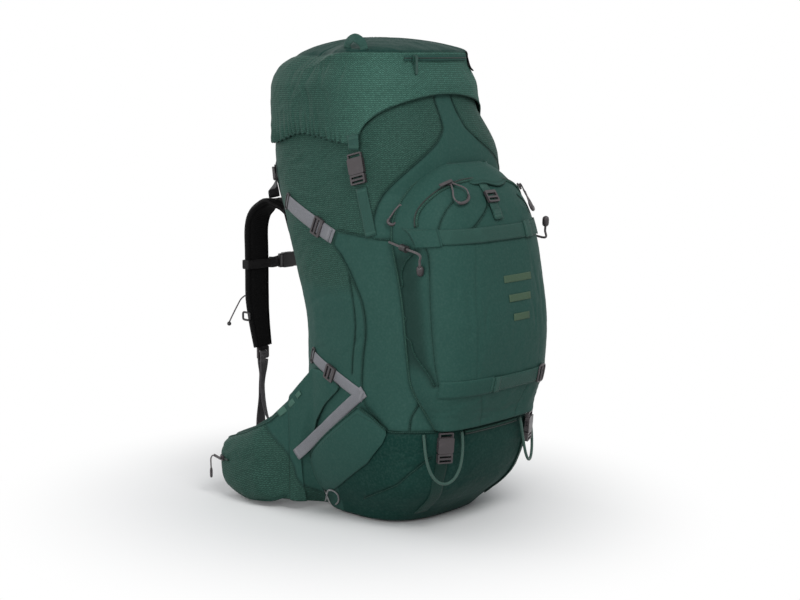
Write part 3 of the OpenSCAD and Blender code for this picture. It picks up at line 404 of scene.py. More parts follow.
def slab(name, outer, inner, mat, uv=None, zone=0.0, seam_and_shade=0.0, wrap=False, **place):
    """A closed piece between two grids of points. Columns crossed with rows face out."""
    m, n = outer.shape[:2]
    o = m * n
    i, j = np.meshgrid(np.arange(m - 1), np.arange(n if wrap else n - 1), indexing="ij")
    k = (j + 1) % n
    a, b, c, d = (q.ravel() for q in (i * n + j, i * n + k, (i + 1) * n + k, (i + 1) * n + j))
    faces = [np.stack([a, b, c, d], 1), np.stack([d, c, b, a], 1) + o]
    j, k = j[0], k[0]
    faces.append(np.stack([k, j, o + j, o + k], 1))
    top = (m - 1) * n
    faces.append(np.stack([top + j, top + k, o + top + k, o + top + j], 1))
    if not wrap:
        i = np.arange(m - 1) * n
        faces.append(np.stack([i, i + n, o + i + n, o + i], 1))
        i = i + n - 1
        faces.append(np.stack([i + n, i, o + i, o + i + n], 1))
    if uv is None:
        du = np.linalg.norm(np.diff(outer, axis=1, prepend=outer[:, :1]), axis=2).cumsum(1)
        dv = np.linalg.norm(np.diff(outer, axis=0, prepend=outer[:1]), axis=2).cumsum(0)
        uv = (du - du.max(1, keepdims=True) / 2, dv)
    flat = np.stack([np.broadcast_to(q, (m, n)) for q in (uv[0], uv[1], zone)], -1).reshape(-1, 3)
    dark = np.broadcast_to(seam_and_shade, (m, n)).ravel()
    verts = np.concatenate([outer.reshape(-1, 3), inner.reshape(-1, 3)])
    marks = (np.vstack([flat, flat]), np.r_[dark, dark])
    return build(name, verts, np.vstack(faces).tolist(), mat, marks, **place)


def cloth(name, grid, thick, mat, wrap=False, **rest):
    return slab(name, grid, grid - facing(grid, wrap) * thick, mat, wrap=wrap, **rest)


def ringed(name, rings, mat, marks, closed=False, **place):
    """A piece through rings of points, capped at both ends unless it closes on itself."""
    m, n = rings.shape[:2]
    faces = []
    for i in range(m if closed else m - 1):
        a, b = i * n, (i + 1) % m * n
        faces += [[a + k, a + (k + 1) % n, b + (k + 1) % n, b + k] for k in range(n)]
    if not closed:
        faces += [list(range(n))[::-1], [(m - 1) * n + k for k in range(n)]]
    return build(name, rings.reshape(-1, 3), faces, mat, (marks, np.zeros(m * n)), **place)


def tube(name, path, d, mat, sides=12, closed=False, **place):
    """A round cord along a path; d may change along it."""
    p = np.asarray(path, float)
    n = len(p)
    t = unit(np.roll(p, -1, 0) - np.roll(p, 1, 0)) if closed else unit(np.gradient(p, axis=0))
    u = unit(np.cross(t[0], (0.31, 0.52, 0.79)))
    rings = []
    r = np.broadcast_to(np.asarray(d, float) / 2, (n,))
    turn = np.arange(sides) * 2 * np.pi / sides
    for i in range(n):
        u = unit(u - t[i] * (u @ t[i]))
        w = np.cross(t[i], u)
        rings.append(p[i] + r[i] * (np.cos(turn)[:, None] * u + np.sin(turn)[:, None] * w))
    marks = np.stack([np.tile(turn * 3, n), np.repeat(lengths(p), sides), np.zeros(n * sides)], 1)
    return ringed(name, np.array(rings), mat, marks, closed, **place)


def loft(name, rings, mat, **place):
    """A closed padded form through rings of points."""
    u = np.linalg.norm(rings - np.roll(rings, 1, 1), axis=2).cumsum(1)
    v = np.linalg.norm(np.diff(rings, axis=0, prepend=rings[:1]), axis=2).cumsum(0)
    return ringed(name, rings, mat, points(u, v, 0.0), **place)


ACROSS = np.linspace(-0.5, 0.5, 9)


def web_faces(thick, c, lift=0.0):
    """How high webbing's outer and inner faces lie across it, with rounded edges."""
    edge = 1 - np.abs(2 * c) ** 6
    return lift + thick * (0.7 + 0.3 * edge), lift + thick * (0.3 - 0.3 * edge)


def band(name, path, up, width, thick, mat, **place):
    """Flat webbing along a path, standing up from it by its thickness."""
    p = np.asarray(path, float)
    t = unit(np.gradient(p, axis=0))
    side = unit(np.cross(t, np.broadcast_to(np.asarray(up, float), p.shape)))
    n = np.cross(side, t)[:, None]
    across = p[:, None] + side[:, None] * (ACROSS * width)[:, None]
    outer, inner = (across + n * high[:, None] for high in web_faces(thick, ACROSS))
    length = lengths(p)[:, None]
    return slab(name, outer, inner, mat, uv=((ACROSS * width)[None, :], length),
                zone=np.minimum(length, length[-1] - length), **place)


def band_on(name, surface, line, width, thick, mat, lift=LIFT, zone=None, **place):
    """Webbing laid on a surface along a line of its own two measures."""
    q = smooth_path(line)
    t = unit(np.gradient(q, axis=0))
    c = ACROSS
    p, n = face_of(surface, q[:, :1] + t[:, 1:] * (c * width), q[:, 1:] - t[:, :1] * (c * width))
    outer, inner = (p + n * high[:, None] for high in web_faces(thick, c, lift))
    if (facing(outer) * n).sum() < 0:
        outer, inner, c = outer[:, ::-1], inner[:, ::-1], c[::-1]
    length = lengths(q)[:, None]
    if zone is None:
        zone = np.minimum(length, length[-1] - length)
    return slab(name, outer, inner, mat, uv=((c * width)[None, :], length), zone=zone, **place)


def lay_line(name, surface, line, d, mat, lift=0.0, **place):
    """Piping or a sewn edge along a line on a surface."""
    q = smooth_path(line)
    p, _ = face_of(surface, q[:, 0], q[:, 1], lift)
    return tube(name, p, d, mat, sides=8, **place)


def flip(side, grid):
    """A left grid, or its mirror with the columns turned round so that it still faces out."""
    return grid if side == "left" else (grid * np.array([-1.0, 1.0, 1.0]))[:, ::-1]


def turned(side, mark):
    """A left grid's marks, in the order that flip gives its columns."""
    return mark if side == "left" else mark[:, ::-1]


# Materials

def rgb(text):
    part = [int(text[i:i + 2], 16) / 255 for i in (0, 2, 4)]
    return tuple(q / 12.92 if q <= 0.04045 else ((q + 0.055) / 1.055) ** 2.4 for q in part) + (1.0,)


def lit(text, f):
    """A tone made lighter or darker by a factor."""
    return tuple(min(1, f * q) for q in rgb(text)[:3]) + (1,)


class Shade:
    """A principled material with short ways to join nodes."""

    def __init__(self, name, rough, **fixed):
        self.mat = bpy.data.materials.new(name)
        self.mat.use_nodes = True
        self.tree = self.mat.node_tree
        self.bsdf = self.tree.nodes["Principled BSDF"]
        self.bsdf.inputs["Roughness"].default_value = rough
        for key, value in fixed.items():
            self.bsdf.inputs[key.replace("_", " ")].default_value = value

    def new(self, kind, **settings):
        node = self.tree.nodes.new("ShaderNode" + kind)
        for key, value in settings.items():
            setattr(node, key, value)
        return node

    def put(self, socket, value):
        if isinstance(value, bpy.types.NodeSocket):
            self.tree.links.new(value, socket)
        else:
            socket.default_value = value

    def math(self, kind, a, b=0.0, c=None):
        node = self.new("Math", operation=kind)
        for i, value in enumerate((a, b, c)):
            if value is not None:
                self.put(node.inputs[i], value)
        return node.outputs[0]

    def times(self, a, b):
        return self.math("MULTIPLY", a, b)

    def times_add(self, a, b, c):
        return self.math("MULTIPLY_ADD", a, b, c)

    def blend(self, f, a, b):
        node = self.new("Mix", data_type="RGBA", blend_type="MIX")
        for i, value in ((0, f), (6, a), (7, b)):
            self.put(node.inputs[i], value)
        return node.outputs[2]

    def mark(self, name, output):
        return self.new("Attribute", attribute_name=name).outputs[output]

    def cloth(self):
        """The cloth's two measures and its zone."""
        node = self.new("SeparateXYZ")
        self.put(node.inputs[0], self.mark("cloth", "Vector"))
        return node.outputs

    def noise(self, scale, detail=3.0):
        node = self.new("TexNoise")
        place = self.new("TexCoord").outputs["Object"]
        for key, value in (("Scale", scale), ("Detail", detail), ("Roughness", 0.55), ("Vector", place)):
            self.put(node.inputs[key], value)
        return node.outputs["Fac"]

    def ramp(self, value, low, high, a=0.0, b=1.0):
        node = self.new("MapRange", interpolation_type="SMOOTHSTEP")
        for i, q in enumerate((value, low, high, a, b)):
            self.put(node.inputs[i], q)
        return node.outputs[0]

    def finish(self, colour, height=None, depth=0.0004, strength=0.5, rough=None):
        self.put(self.bsdf.inputs["Base Color"], colour)
        if rough is not None:
            self.put(self.bsdf.inputs["Roughness"], rough)
        if height is not None:
            bump = self.new("Bump")
            for key, value in (("Strength", strength), ("Distance", depth), ("Height", height)):
                self.put(bump.inputs[key], value)
            self.put(self.bsdf.inputs["Normal"], bump.outputs[0])
        return self.mat

    def wave(self, value, period, phase=0.0):
        """A sine of that period, from 0 to 1."""
        turned_value = self.times_add(value, 2 * math.pi / period, phase)
        return self.times_add(self.math("SINE", turned_value), 0.5, 0.5)

    def ripple(self, u, v):
        """Fine wavy ridges that run across, broken along their length."""
        bend = self.math("SINE", self.times_add(u, 1.05, self.times(self.noise(90, 2.0), 7.0)))
        ridge = self.wave(self.times_add(bend, 0.5, v), 3.3)
        other = self.wave(self.times_add(v, 0.95, u), 4.6, 1.0)
        broken = self.ramp(self.noise(420, 2.0), 0.38, 0.62, 0.35, 1.15)
        return self.times(self.times(ridge, broken), self.times_add(other, 0.5, 0.5))

    def plain(self, u, v, period=1.1):
        """A plain weave: threads over and under at that spacing."""
        return self.times(self.wave(u, period), self.wave(v, period, 1.6))


def pack_cloth(name, ripple_tone, smooth_tone, dark_tone):
    """The pack's nylon: zone 0 is the rippled weave, 1 the smooth one and 2 the dark heavy one."""
    s = Shade(name, 0.62, Sheen_Weight=0.02, Sheen_Roughness=0.45, Specular_IOR_Level=0.08)
    u, v, zone = s.cloth()
    ripple = s.ripple(u, v)
    weave = s.plain(u, v)
    to_smooth = s.ramp(zone, 0.05, 0.95)
    patch = s.noise(7, 4.0)
    grain = s.noise(260, 2.0)
    colour = s.blend(ripple, lit(ripple_tone, 0.62), lit(ripple_tone, 1.9))
    colour = s.blend(to_smooth, colour, rgb(smooth_tone))
    colour = s.blend(s.ramp(zone, 1.4, 1.6), colour, rgb(dark_tone))
    colour = s.blend(s.ramp(patch, 0.3, 0.75, 0.0, 0.22), colour, (0.034, 0.085, 0.07, 1))
    colour = s.blend(s.times(s.ramp(grain, 0.35, 0.8), 0.16), colour, (0.075, 0.14, 0.12, 1))
    # Darkened where the cloth is marked: dark seam lines that are partly painted shade in their grooves, and
    # painted shade in the lid's pucker valleys and on its sides
    colour = s.blend(s.times(s.mark("seam_and_shade", "Fac"), 0.72), colour, (0.006, 0.016, 0.013, 1))
    relief = s.times(ripple, s.math("SUBTRACT", 1.0, to_smooth))
    relief = s.times_add(grain, 0.25, s.times_add(weave, 0.16, relief))
    return s.finish(colour, relief, 0.0007, 0.55, s.ramp(patch, 0.2, 0.8, 0.54, 0.7))


def webbing(name, tone, thread):
    """Woven tape: fine ribs along it, a chevron weave, and a stitched bar near each end."""
    s = Shade(name, 0.6, Sheen_Weight=0.03, Specular_IOR_Level=0.15)
    u, v, end = s.cloth()
    chevron = s.math("ABSOLUTE", s.math("SUBTRACT", s.math("PINGPONG", u, 4.0), 2.0))
    weave = s.times(s.wave(s.math("ADD", v, chevron), 1.5), s.wave(u, 1.2))
    colour = s.blend(weave, lit(tone, 0.74), lit(tone, 1.28))
    colour = s.blend(s.ramp(s.noise(24, 4.0), 0.45, 0.85, 0.0, 0.25), colour, lit(tone, 1.5))
    bar = s.times(s.ramp(end, 3.0, 3.6), s.ramp(end, 7.0, 7.6, 1.0, 0.0))
    bar = s.times(bar, s.wave(u, 0.9))
    colour = s.blend(s.times(bar, 0.6), colour, rgb(thread))
    return s.finish(colour, s.math("ADD", weave, bar), 0.0005, 0.6)


def spacer_mesh(name, tone, light_tone):
    """Black knitted spacer cloth with rows of small holes."""
    s = Shade(name, 0.85, Sheen_Weight=0.04, Sheen_Roughness=0.4, Specular_IOR_Level=0.08)
    u, v, _ = s.cloth()
    hole = s.times(s.wave(s.times_add(v, 0.5, u), 3.4), s.wave(v, 3.4))
    fuzz = s.noise(180, 3.0)
    colour = s.blend(hole, rgb(light_tone), rgb(tone))
    colour = s.blend(s.ramp(fuzz, 0.3, 0.8, 0.0, 0.35), colour, rgb(light_tone))
    return s.finish(colour, s.math("SUBTRACT", s.times(fuzz, 0.4), hole), 0.0008, 0.6)


def braid(name, tone, light_tone):
    """Braided cord: crossing strands round it."""
    s = Shade(name, 0.58, Sheen_Weight=0.1)
    u, v, _ = s.cloth()
    strand = s.math("MAXIMUM", *(s.wave(s.math(way, u, v), 3.0) for way in ("ADD", "SUBTRACT")))
    colour = s.blend(s.times(strand, s.noise(200, 2.0)), rgb(tone), rgb(light_tone))
    return s.finish(colour, strand, 0.0005, 0.6)


def moulded(name, tone, worn_tone, rough):
    """Moulded plastic with a fine spark grain, scuffed in places."""
    s = Shade(name, rough, Specular_IOR_Level=0.45)
    scuff = s.noise(60, 5.0)
    colour = s.blend(s.ramp(scuff, 0.45, 0.8, 0.0, 0.5), rgb(tone), rgb(worn_tone))
    worn_rough = s.ramp(scuff, 0.3, 0.8, rough - 0.08, rough + 0.12)
    return s.finish(colour, s.noise(900, 2.0), 0.0002, 0.35, worn_rough)


def metal(name, tone):
    """Drawn alloy with streaks along it."""
    s = Shade(name, 0.35, Metallic=1.0)
    streak = s.noise(120, 4.0)
    colour = s.blend(s.ramp(streak, 0.3, 0.8), rgb(tone), (0.75, 0.76, 0.78, 1))
    return s.finish(colour, streak, 0.0001, 0.2, s.ramp(streak, 0.2, 0.8, 0.28, 0.45))


def coil(name, tone):
    """Zip coil: teeth across the tape's middle, plain tape beside them."""
    s = Shade(name, 0.5, Specular_IOR_Level=0.4)
    u, v, _ = s.cloth()
    tooth = s.times(s.wave(v, 1.5), s.ramp(s.math("ABSOLUTE", u), 1.4, 2.2, 1.0, 0.0))
    weave = s.times(s.plain(u, v, 1.0), 0.4)
    colour = s.blend(tooth, rgb(tone), lit(tone, 2.2))
    colour = s.blend(s.times(weave, 0.5), colour, (0.02, 0.04, 0.035, 1))
    return s.finish(colour, s.math("ADD", tooth, weave), 0.0006, 0.7)


GREEN = pack_cloth("green_nylon", "2a483f", "294b44", "062f29")
# The lid's copy of the packbag's nylon with its ripple made lighter: a painted highlight for the light on the
# lid's front
LID_GREEN_PAINTED_LIGHTER = pack_cloth("lid_nylon_painted_lighter", "3a5f54", "294b44", "062f29")
DEEP = pack_cloth("deep_green_nylon", "1d3a33", "1b3630", "0c2f29")
LIGHT = pack_cloth("light_green_trim", "46685c", "46685c", "46685c")
OLIVE = pack_cloth("olive_print", "4b5f4b", "4b5f4b", "4b5f4b")
GREEN_WEB = webbing("green_webbing", "2d5048", "3f655a")
GREY_WEB = webbing("grey_webbing", "828388", "9a9a9d")
DARK_WEB = webbing("dark_grey_webbing", "3b3b3d", "505052")
MID_WEB = webbing("mid_grey_webbing", "5a585a", "706e70")
FOOT_WEB = webbing("foot_webbing", "1a3a33", "2d5048")
BLACK_WEB = webbing("black_webbing", "100f10", "232223")
MESH = spacer_mesh("black_spacer", "040404", "131313")
LINING = pack_cloth("black_cloth", "121413", "131414", "0f1110")
CORD = braid("green_cord", "1e4037", "315449")
GREY_CORD = braid("grey_cord", "3a3537", "6c6567")
SILVER_CORD = braid("silver_cord", "5b5c5e", "a3a4a5")
GREY_PART = moulded("grey_hardware", "393436", "544e51", 0.4)
BLACK_PART = moulded("black_hardware", "1d1c1d", "383637", 0.4)
ALLOY = metal("frame_alloy", "8d8f93")
ZIP = coil("zip_coil", "14241f")
GREEN_PART = moulded("green_hardware", "24443c", "35594f", 0.5)


# Packbag cloth

def round_bag(s, z):
    """The packbag's left half by distance round and height."""
    a = REAR_TURN + np.interp(s, REACH, ROUND)
    return bag_pt(a, z, stuffing(a, z))


TEARDROP = trace((-22, -105, 725), (-23, -113, 696), (-28, -120, 673), (-49, -126, 652), (-78, -127, 632),
                 (-101, -123, 615), (-119, -117, 599), (-134, -110, 584), (-145, -100, 568), (-152, -95, 553),
                 (-156, -92, 538), (-160, -90, 518), (-163, -90, 502))
WRAP_TOP = trace((-173, -22, 506), (-168, -72, 500), (-159, -102, 496), (-140, -130, 496))
WRAP_REAR = trace((-174, -20, 500), (-174, -13, 482), (-175, -31, 465), (-176, -53, 438), (-176, -70, 411),
                  (-176, -80, 393), (-176, -87, 368), (-176, -89, 341), (-176, -84, 300), (-177, -81, 255),
                  (-176, -89, 218), (-173, -112, 199), (-168, -133, 179))
RIB = trace((-176, -51, 432), (-177, -62, 391), (-178, -67, 349), (-178, -61, 297), (-178, -59, 268))
HEEL_TAB = trace((-138, -188, 246), (-141, -183, 233), (-141, -174, 222), (-148, -167, 204),
                 (-152, -166, 180))
FOOT = trace((-168, -133, 179), (-160, -151, 179), (-152, -166, 180), (-120, -200, 180))
HEEL = trace((-160, -60, 45), (-149, -133, 83), (-144, -158, 105), (-134, -179, 125), (-122, -188, 136))
# Each seam's name, line, width of its groove and thickness of its piping
SEAMS = (("teardrop", TEARDROP, 2.6, 1.5), ("wrap_top", WRAP_TOP, 2.6, 2.2),
         ("wrap_rear", WRAP_REAR, 2.8, 1.7), ("rib", RIB, 2.4, 1.4), ("foot", FOOT, 3.0, 2.2),
         ("heel", HEEL, 2.4, 1.4), ("heel_tab", HEEL_TAB, 2.4, 1.8))
WRAP_Z, FOOT_Z, SMOOTH_Z = 505, 180, 438
# Where the dark back ends and the dark foot begins, by distance round
BACK_END, FOOT_FROM = 150, 250


def bag_zone(s, z):
    """Which weave the packbag has: rippled, smooth in front of the seams, dark at the foot and the back."""
    edge = np.interp(z, TEARDROP[::-1, 1], TEARDROP[::-1, 0])
    wrap = np.interp(z, WRAP_REAR[::-1, 1], WRAP_REAR[::-1, 0])
    zone = np.where(z > 500, s > edge, s > wrap) * 1.0
    zone = np.maximum(zone, ease((SMOOTH_Z - z) / 60))
    zone = np.where((z < FOOT_Z) & (s > FOOT_FROM), 2.0, zone)
    return np.where(s < BACK_END, 2.0, zone)


def bag_relief(s, z):
    """How far the cloth lies inside the packbag's outer surface, and where its seams are."""
    seams = 0
    for _, line, wide, _ in SEAMS:
        seams = np.maximum(seams, groove(near(s, z, line)[0], wide))
    far, side = near(s, z, WRAP_REAR)
    step = np.where((z < WRAP_Z) & (z > FOOT_Z - 4), ease(0.5 - side * far / 5), 0)
    step = np.where(z > WRAP_Z, ease((WRAP_TOP[0, 1] + 4 - z) / 6), step)
    uneven = 0.9 * np.abs(waves(s, z, 3, 120, stretch=1.5)) + 0.35 * np.abs(waves(s, z, 5, 38))
    folds = creases(s, z, 11, 26, (200, 420, 505, 640), 70, 8, 22, 4.0) * 1.8
    folds += creases(s, z, 12, 22, (180, 330, 300, 500), 60, 20, 25, 4.0) * 1.6
    folds += creases(s, z, 13, 18, (330, 520, 70, 180), 60, 12, 18, 4.5) * 1.8
    return 1.5 * seams + 1.0 * (1 - step) + uneven + folds, seams


A, Z = np.meshgrid(np.linspace(0, 360, 384, endpoint=False) + REAR_TURN,
                   mix(3.5, RIM, np.linspace(0, 1, 210)))
S = along(A)
inset, seams = bag_relief(S, Z)
inset = inset * ease((Z - 4) / 20) * ease((RIM + 2 - Z) / 16)
# The cloth lies close to the surface under the pad straps, the lid's tapes and the compression straps
under = 0
for line, wide in ((trace(*[bag_front(-line_at(PAD_X, z), z) for z in (10, 50, 90, 130, 170)]), 15),
                   (((along(LID_A), 500), (along(LID_A), 640)), 13),
                   (trace(*[left_side(y, z) for y, z in UPPER]), 16),
                   (trace(*[left_side(y, z) for y, z in LOWER]), 16)):
    under = under + groove(near(S, Z, line)[0], wide)
inset = inset * (1 - 0.97 * np.minimum(under, 1))
grid = bag_pt(A, Z, stuffing(A, Z))
grid = grid - facing(grid, True) * inset[..., None]
# The seam lines are darkened, partly as painted shade in their grooves
cloth("packbag_cloth", grid, 1.8, GREEN, wrap=True, uv=(S, Z), zone=bag_zone(S, Z), seam_and_shade=0.8 * seams,
      node="packbag")
for side, flat in SIDES:
    for key, line, _, d in SEAMS:
        lay_line(f"seam_{key}_{side}", on_side(round_bag, flat), line, d, DEEP, lift=-0.9)

# Base, collar and divider

R, A = np.meshgrid(np.linspace(0.02, 1, 16)[::-1], np.linspace(0, 360, 121)[:-1], indexing="ij")
q, w = squared(np.radians(A), 0.5)
lo, hi = box_mm("base_panel")
half, mid = (hi - lo) / 2, (hi + lo) / 2
low = points(mid[0] + R * q * half[0], mid[1] - R * w * half[1], 0.05)
slab("base_cloth", low, low + np.array([0, 0, 2.9]), DEEP, uv=(low[..., 0], low[..., 1]), zone=2.0, wrap=True,
     node="base_panel")

# Rows of the collar: height over the rim, and how far it is drawn in
COLLAR = np.array([[-22.0, 0], [-14, 0], [-6, 0], [0, 5], [4, 12], [7, 20], [10, 31], [12, 39], [13, 46]])
A, K = np.meshgrid(np.linspace(0, 360, 240, endpoint=False), np.arange(len(COLLAR)))
up, drawn = COLLAR[K, 0], COLLAR[K, 1]
pleat = 3.0 * ease((K - 2) / 5) * (np.sin(np.radians(A) * 34) + 0.5 * np.sin(np.radians(A) * 57 + 1))
grid = section(A, RIM + np.minimum(0, up), RIM + up + pleat * 0.4, -WALL - SEAT - drawn - np.abs(pleat) * 0.6)
cloth("collar_cloth", grid, 1.0, LINING, wrap=True, node="collar")
path = section(np.linspace(0, 360, 181)[:-1], RIM, 753.5, -WALL - SEAT - 47.5)
tube("collar_drawcord", path, 4.0, GREY_CORD, closed=True, node="collar_cord")

DIVIDER_Z, INSIDE = 236.0, -WALL - SEAT - 0.4
X, V = np.meshgrid(np.linspace(-1, 1, 61) * 0.995, np.linspace(0, 1, 45))
lo, hi = box_mm("floating_divider")
wide = soft(HALF, DIVIDER_Z) + INSIDE
Y = mix(lo[1], np.maximum(rear_y(X * wide, DIVIDER_Z, INSIDE), lo[1] + 1), V)
sag = 5 * (1 - X ** 2) * np.sin(np.pi * V)
grid = points(X * np.minimum(wide, side_x(Y, DIVIDER_Z, INSIDE)), Y,
              DIVIDER_Z + 0.8 - sag + 0.6 * waves(X * 170, Y, 21, 60))
divider = cloth("divider_cloth", grid, 1.0, DEEP, zone=2.0, node="floating_divider")

# Back: cover over the frame, padded panels with sewn channels

PAD_OFF = 10.5


def back_grid(x0, x1, z0, z1, nx, nz):
    X, Z = np.meshgrid(np.linspace(x1, x0, nx), np.linspace(z0, z1, nz))
    return X, Z, (X - x0) / (x1 - x0), (Z - z0) / (z1 - z0)


def back_points(X, Z, off):
    return points(X, rear_y(X, Z) + off, Z)


X, Z, U, V = back_grid(-116, 116, 66, 612, 61, 140)
crown = np.minimum(1, 4.2 * np.sin(np.pi * U) ** 0.7) * np.minimum(1, 6 * np.sin(np.pi * V) ** 0.7)
top = 0.3 + 9.6 * crown - 0.5 * np.abs(waves(X, Z, 31, 40))
slab("back_cover", back_points(X, Z, top), back_points(X, Z, 0.2), LINING)

for name, x0, x1, z0, z1, thick, ridges, node in (
        ("back_pad_right", 17, 101, 242, 388, 14, (0.25, 0.5, 0.75), "back_pads"),
        ("back_pad_left", -101, -17, 242, 388, 14, (0.25, 0.5, 0.75), None),
        ("lumbar_cushion", -101, 101, 78, 232, 22, (0.34, 0.67), "lumbar_pad")):
    X, Z, U, V = back_grid(x0, x1, z0, z1, 49, 97)
    U, V = np.clip(U, 1e-4, 1 - 1e-4), np.clip(V, 1e-4, 1 - 1e-4)
    channel = np.minimum(1, sum(groove((V - k) * (z1 - z0), 4.5) for k in ridges))
    crown = 0.3 + 0.7 * (np.sin(np.pi * U) * np.sin(np.pi * V)) ** 0.35
    top = thick * crown * (1 - 0.5 * channel)
    pad = slab(name, back_points(X, Z, PAD_OFF + top), back_points(X, Z, PAD_OFF), MESH, seam_and_shade=channel,
               node=node)

# Front pocket

PANEL = ((-66, 492), (-76, 440), (-83, 384), (-82, 320), (-80, 262))
INNER = ((-82, 560), (-100, 548), (-113, 533), (-124, 512), (-127, 500))
LAP = ((2, 570), (-5, 563), (-14, 548), (-35, 533), (-62, 516), (-90, 505))
FOOT_PANEL = ((-63, 240), (-56, 226), (-48, 208), (-46, 186))
FOLD, MOUTH = ([(float(pocket_x(y, float(z))), z) for y, z in line] for line in (
    ((-190, 486), (-196, 470), (-203, 402), (-208, 350), (-213, 300), (-217, 262)),
    ((-172, 482), (-155, 462), (-148, 420), (-153, 372), (-166, 334), (-188, 298), (-212, 262))))
T, Z = np.meshgrid(np.radians(np.linspace(-90, 90, 181)), np.linspace(P0, P1, 170))
X = pocket_w(Z) * np.sin(T)
inset = 0.7 * np.abs(waves(X, Z, 41, 90, stretch=1.6)) + 0.3 * np.abs(waves(X, Z, 43, 32))
far, side = near(X, Z, LAP)
seams = groove(far, 2.0)
for line, wide, deep in ((PANEL, 1.6, 0.25), (FOLD, 2.0, 0.5), (MOUTH, 3.4, 1.0), (INNER, 2.2, 0.8),
                         (FOOT_PANEL, 1.8, 0.5)):
    seams = np.maximum(seams, deep * groove(near(-np.abs(X), Z, line)[0], wide))
lap = np.where((Z > 505) & (far < 24) & (X < 20), ease(0.5 + side * far / 4) * groove(far, 16), 0)
inset = inset + 1.3 * seams + 1.6 * lap
inset += 1.6 * creases(-np.abs(X), Z, 44, 16, (-140, -20, 190, 250), 46, 5, 15, 4.0)
inset += 1.2 * creases(-np.abs(X), Z, 45, 10, (-140, -60, 300, 480), 60, 88, 8, 5.0)
# Room for the end of the tool cord's lock, on the pocket's side
inset += 1.6 * groove(Z - 487, 16) * groove(pocket_y(X, Z) + 147, 16)
inset = inset * ease((Z - P0) / 12) * ease((P1 - Z) / 12)
grid = pocket(X, Z)
grid[..., 1] = np.minimum(grid[..., 1], front_y(X, Z) - SEAT - 2.1)
room = 0.9 * np.maximum(0, front_y(X, Z) - grid[..., 1] - 2.2)
grid = grid - facing(grid) * np.minimum(inset, room)[..., None]
# The pocket's seams, fold, mouth and lapped edge are darkened, partly as painted shade in their grooves and
# under the lap
cloth("front_pocket_cloth", grid, 1.5, GREEN, uv=(X, Z), zone=1.0, seam_and_shade=0.8 * seams, node="front_pocket")

z = np.linspace(P0 + 1, P1 - 4, 120)
rim = bag_front(-pocket_w(z) * 0.998, z) + np.array([0, -2.2, 0])
for side, flat in SIDES:
    for key, line, d in (("fold", FOLD, 1.2), ("mouth", MOUTH, 3.0), ("inner", INNER, 1.4)):
        lay_line(f"pocket_{key}_{side}", on_side(pocket, flat), line, d, DEEP, lift=-0.8)
    tube(f"pocket_edge_{side}", rim * flat, 3.2, GREEN, sides=8)
lay_line("pocket_lap_edge", pocket, LAP, 2.0, DEEP, lift=-0.4)

# Side pockets

SIDE_LOW = ((-133, 176), (-125, 158), (-90, 118), (-18, 67), (9, 50), (34, 41), (78, 34))
SIDE_TOP = ((-133, 181), (-112, 200), (-85, 216), (30, 126), (78, 88))
U, V = shares(81, 49)
Y = mix(76.0, -132.0, U)
Z = mix(line_at(SIDE_LOW, Y), line_at(SIDE_TOP, Y), V)
puff = SEAT + 19 * np.sin(np.pi * U) ** 0.7 * V ** 0.6 * (1 - 0.22 * ease((V - 0.86) / 0.14))
gather = 1.1 * np.abs(np.sin(Y * 0.42)) * ease((V - 0.55) / 0.45) * np.sin(np.pi * U)
sag = 0.7 * np.abs(waves(Y, Z, 51, 60)) * np.sin(np.pi * U) * V
grid = points(-side_x(Y, Z) - puff - 1.9 + gather + sag, Y, Z)
for side, flat in SIDES:
    placed = flip(side, grid)
    cloth(f"side_pocket_cloth_{side}", placed, 1.3, GREEN, uv=(turned(side, Y), turned(side, Z)), zone=1.0,
          seam_and_shade=0.5 * groove(V - 0.9, 0.012), slot="stretch_woven", node=f"side_pocket_{side}")
    tube(f"side_pocket_hem_{side}", placed[-1] + np.array([0, 0, 0.4]), 3.6, DEEP, slot="stretch_woven")

# Straps on the sides

WING_Y, WING_T, HINGE_X, HINGE_Y = 38.0, 5.0, 173.73, 100.0
WING_RUN = HINGE_Y - WING_Y


def wing_x(y, z):
    """How far out the hip wing's inner face lies."""
    bent = ease((y - WING_Y) / WING_RUN)
    return mix(side_x(WING_Y, z) + SEAT + 0.4, HINGE_X - WING_T, bent)


def stab_face(y, z):
    """The left side of the packbag, and then of the hip wing."""
    wing = wing_x(np.maximum(y, WING_Y), z) + WING_T + 0.8
    return points(-mix(side_x(np.minimum(y, WING_Y), z), wing, ease((y - WING_Y + 30) / 18)), y, z)


def steps(line, count=14):
    a, b = np.array(line, float)
    return [tuple(mix(a, b, f)) for f in np.linspace(0, 1, count)]


fold = steps([mix(np.array(UPPER[0]), np.array(UPPER[1]), f) for f in (0.72, 0.96)], 8)
for side, flat in SIDES:
    on_bag = on_side(left_side, flat)
    band_on(f"upper_compression_{side}", on_bag, steps(UPPER), WIDE_TAPE, WEB, GREY_WEB,
            node=f"compression_straps_{side}")
    band_on(f"lower_compression_{side}", on_bag, steps(LOWER), TAPE, WEB, GREY_WEB)
    band_on(f"stabiliser_strap_{side}", on_side(stab_face, flat), steps(STAB, 22), TAPE, WEB, GREY_WEB, 0.4)
    band_on(f"upper_strap_fold_{side}", on_bag, fold, 24, 1.6, GREY_WEB, 2.9)

# Webbing and zips on the front

BAND_Z, BAND_WIDE, LOW_Z, BUCKLE_X = 504.0, 24, 256, 92
BAND_HALF = float(pocket_w(BAND_Z)) * 0.985


def band_y(x, z):
    """Where the band over the pocket lies."""
    return np.minimum(pocket_y(x, z), front_y(x, z) - SEAT - 1.8) - LIFT - 0.6


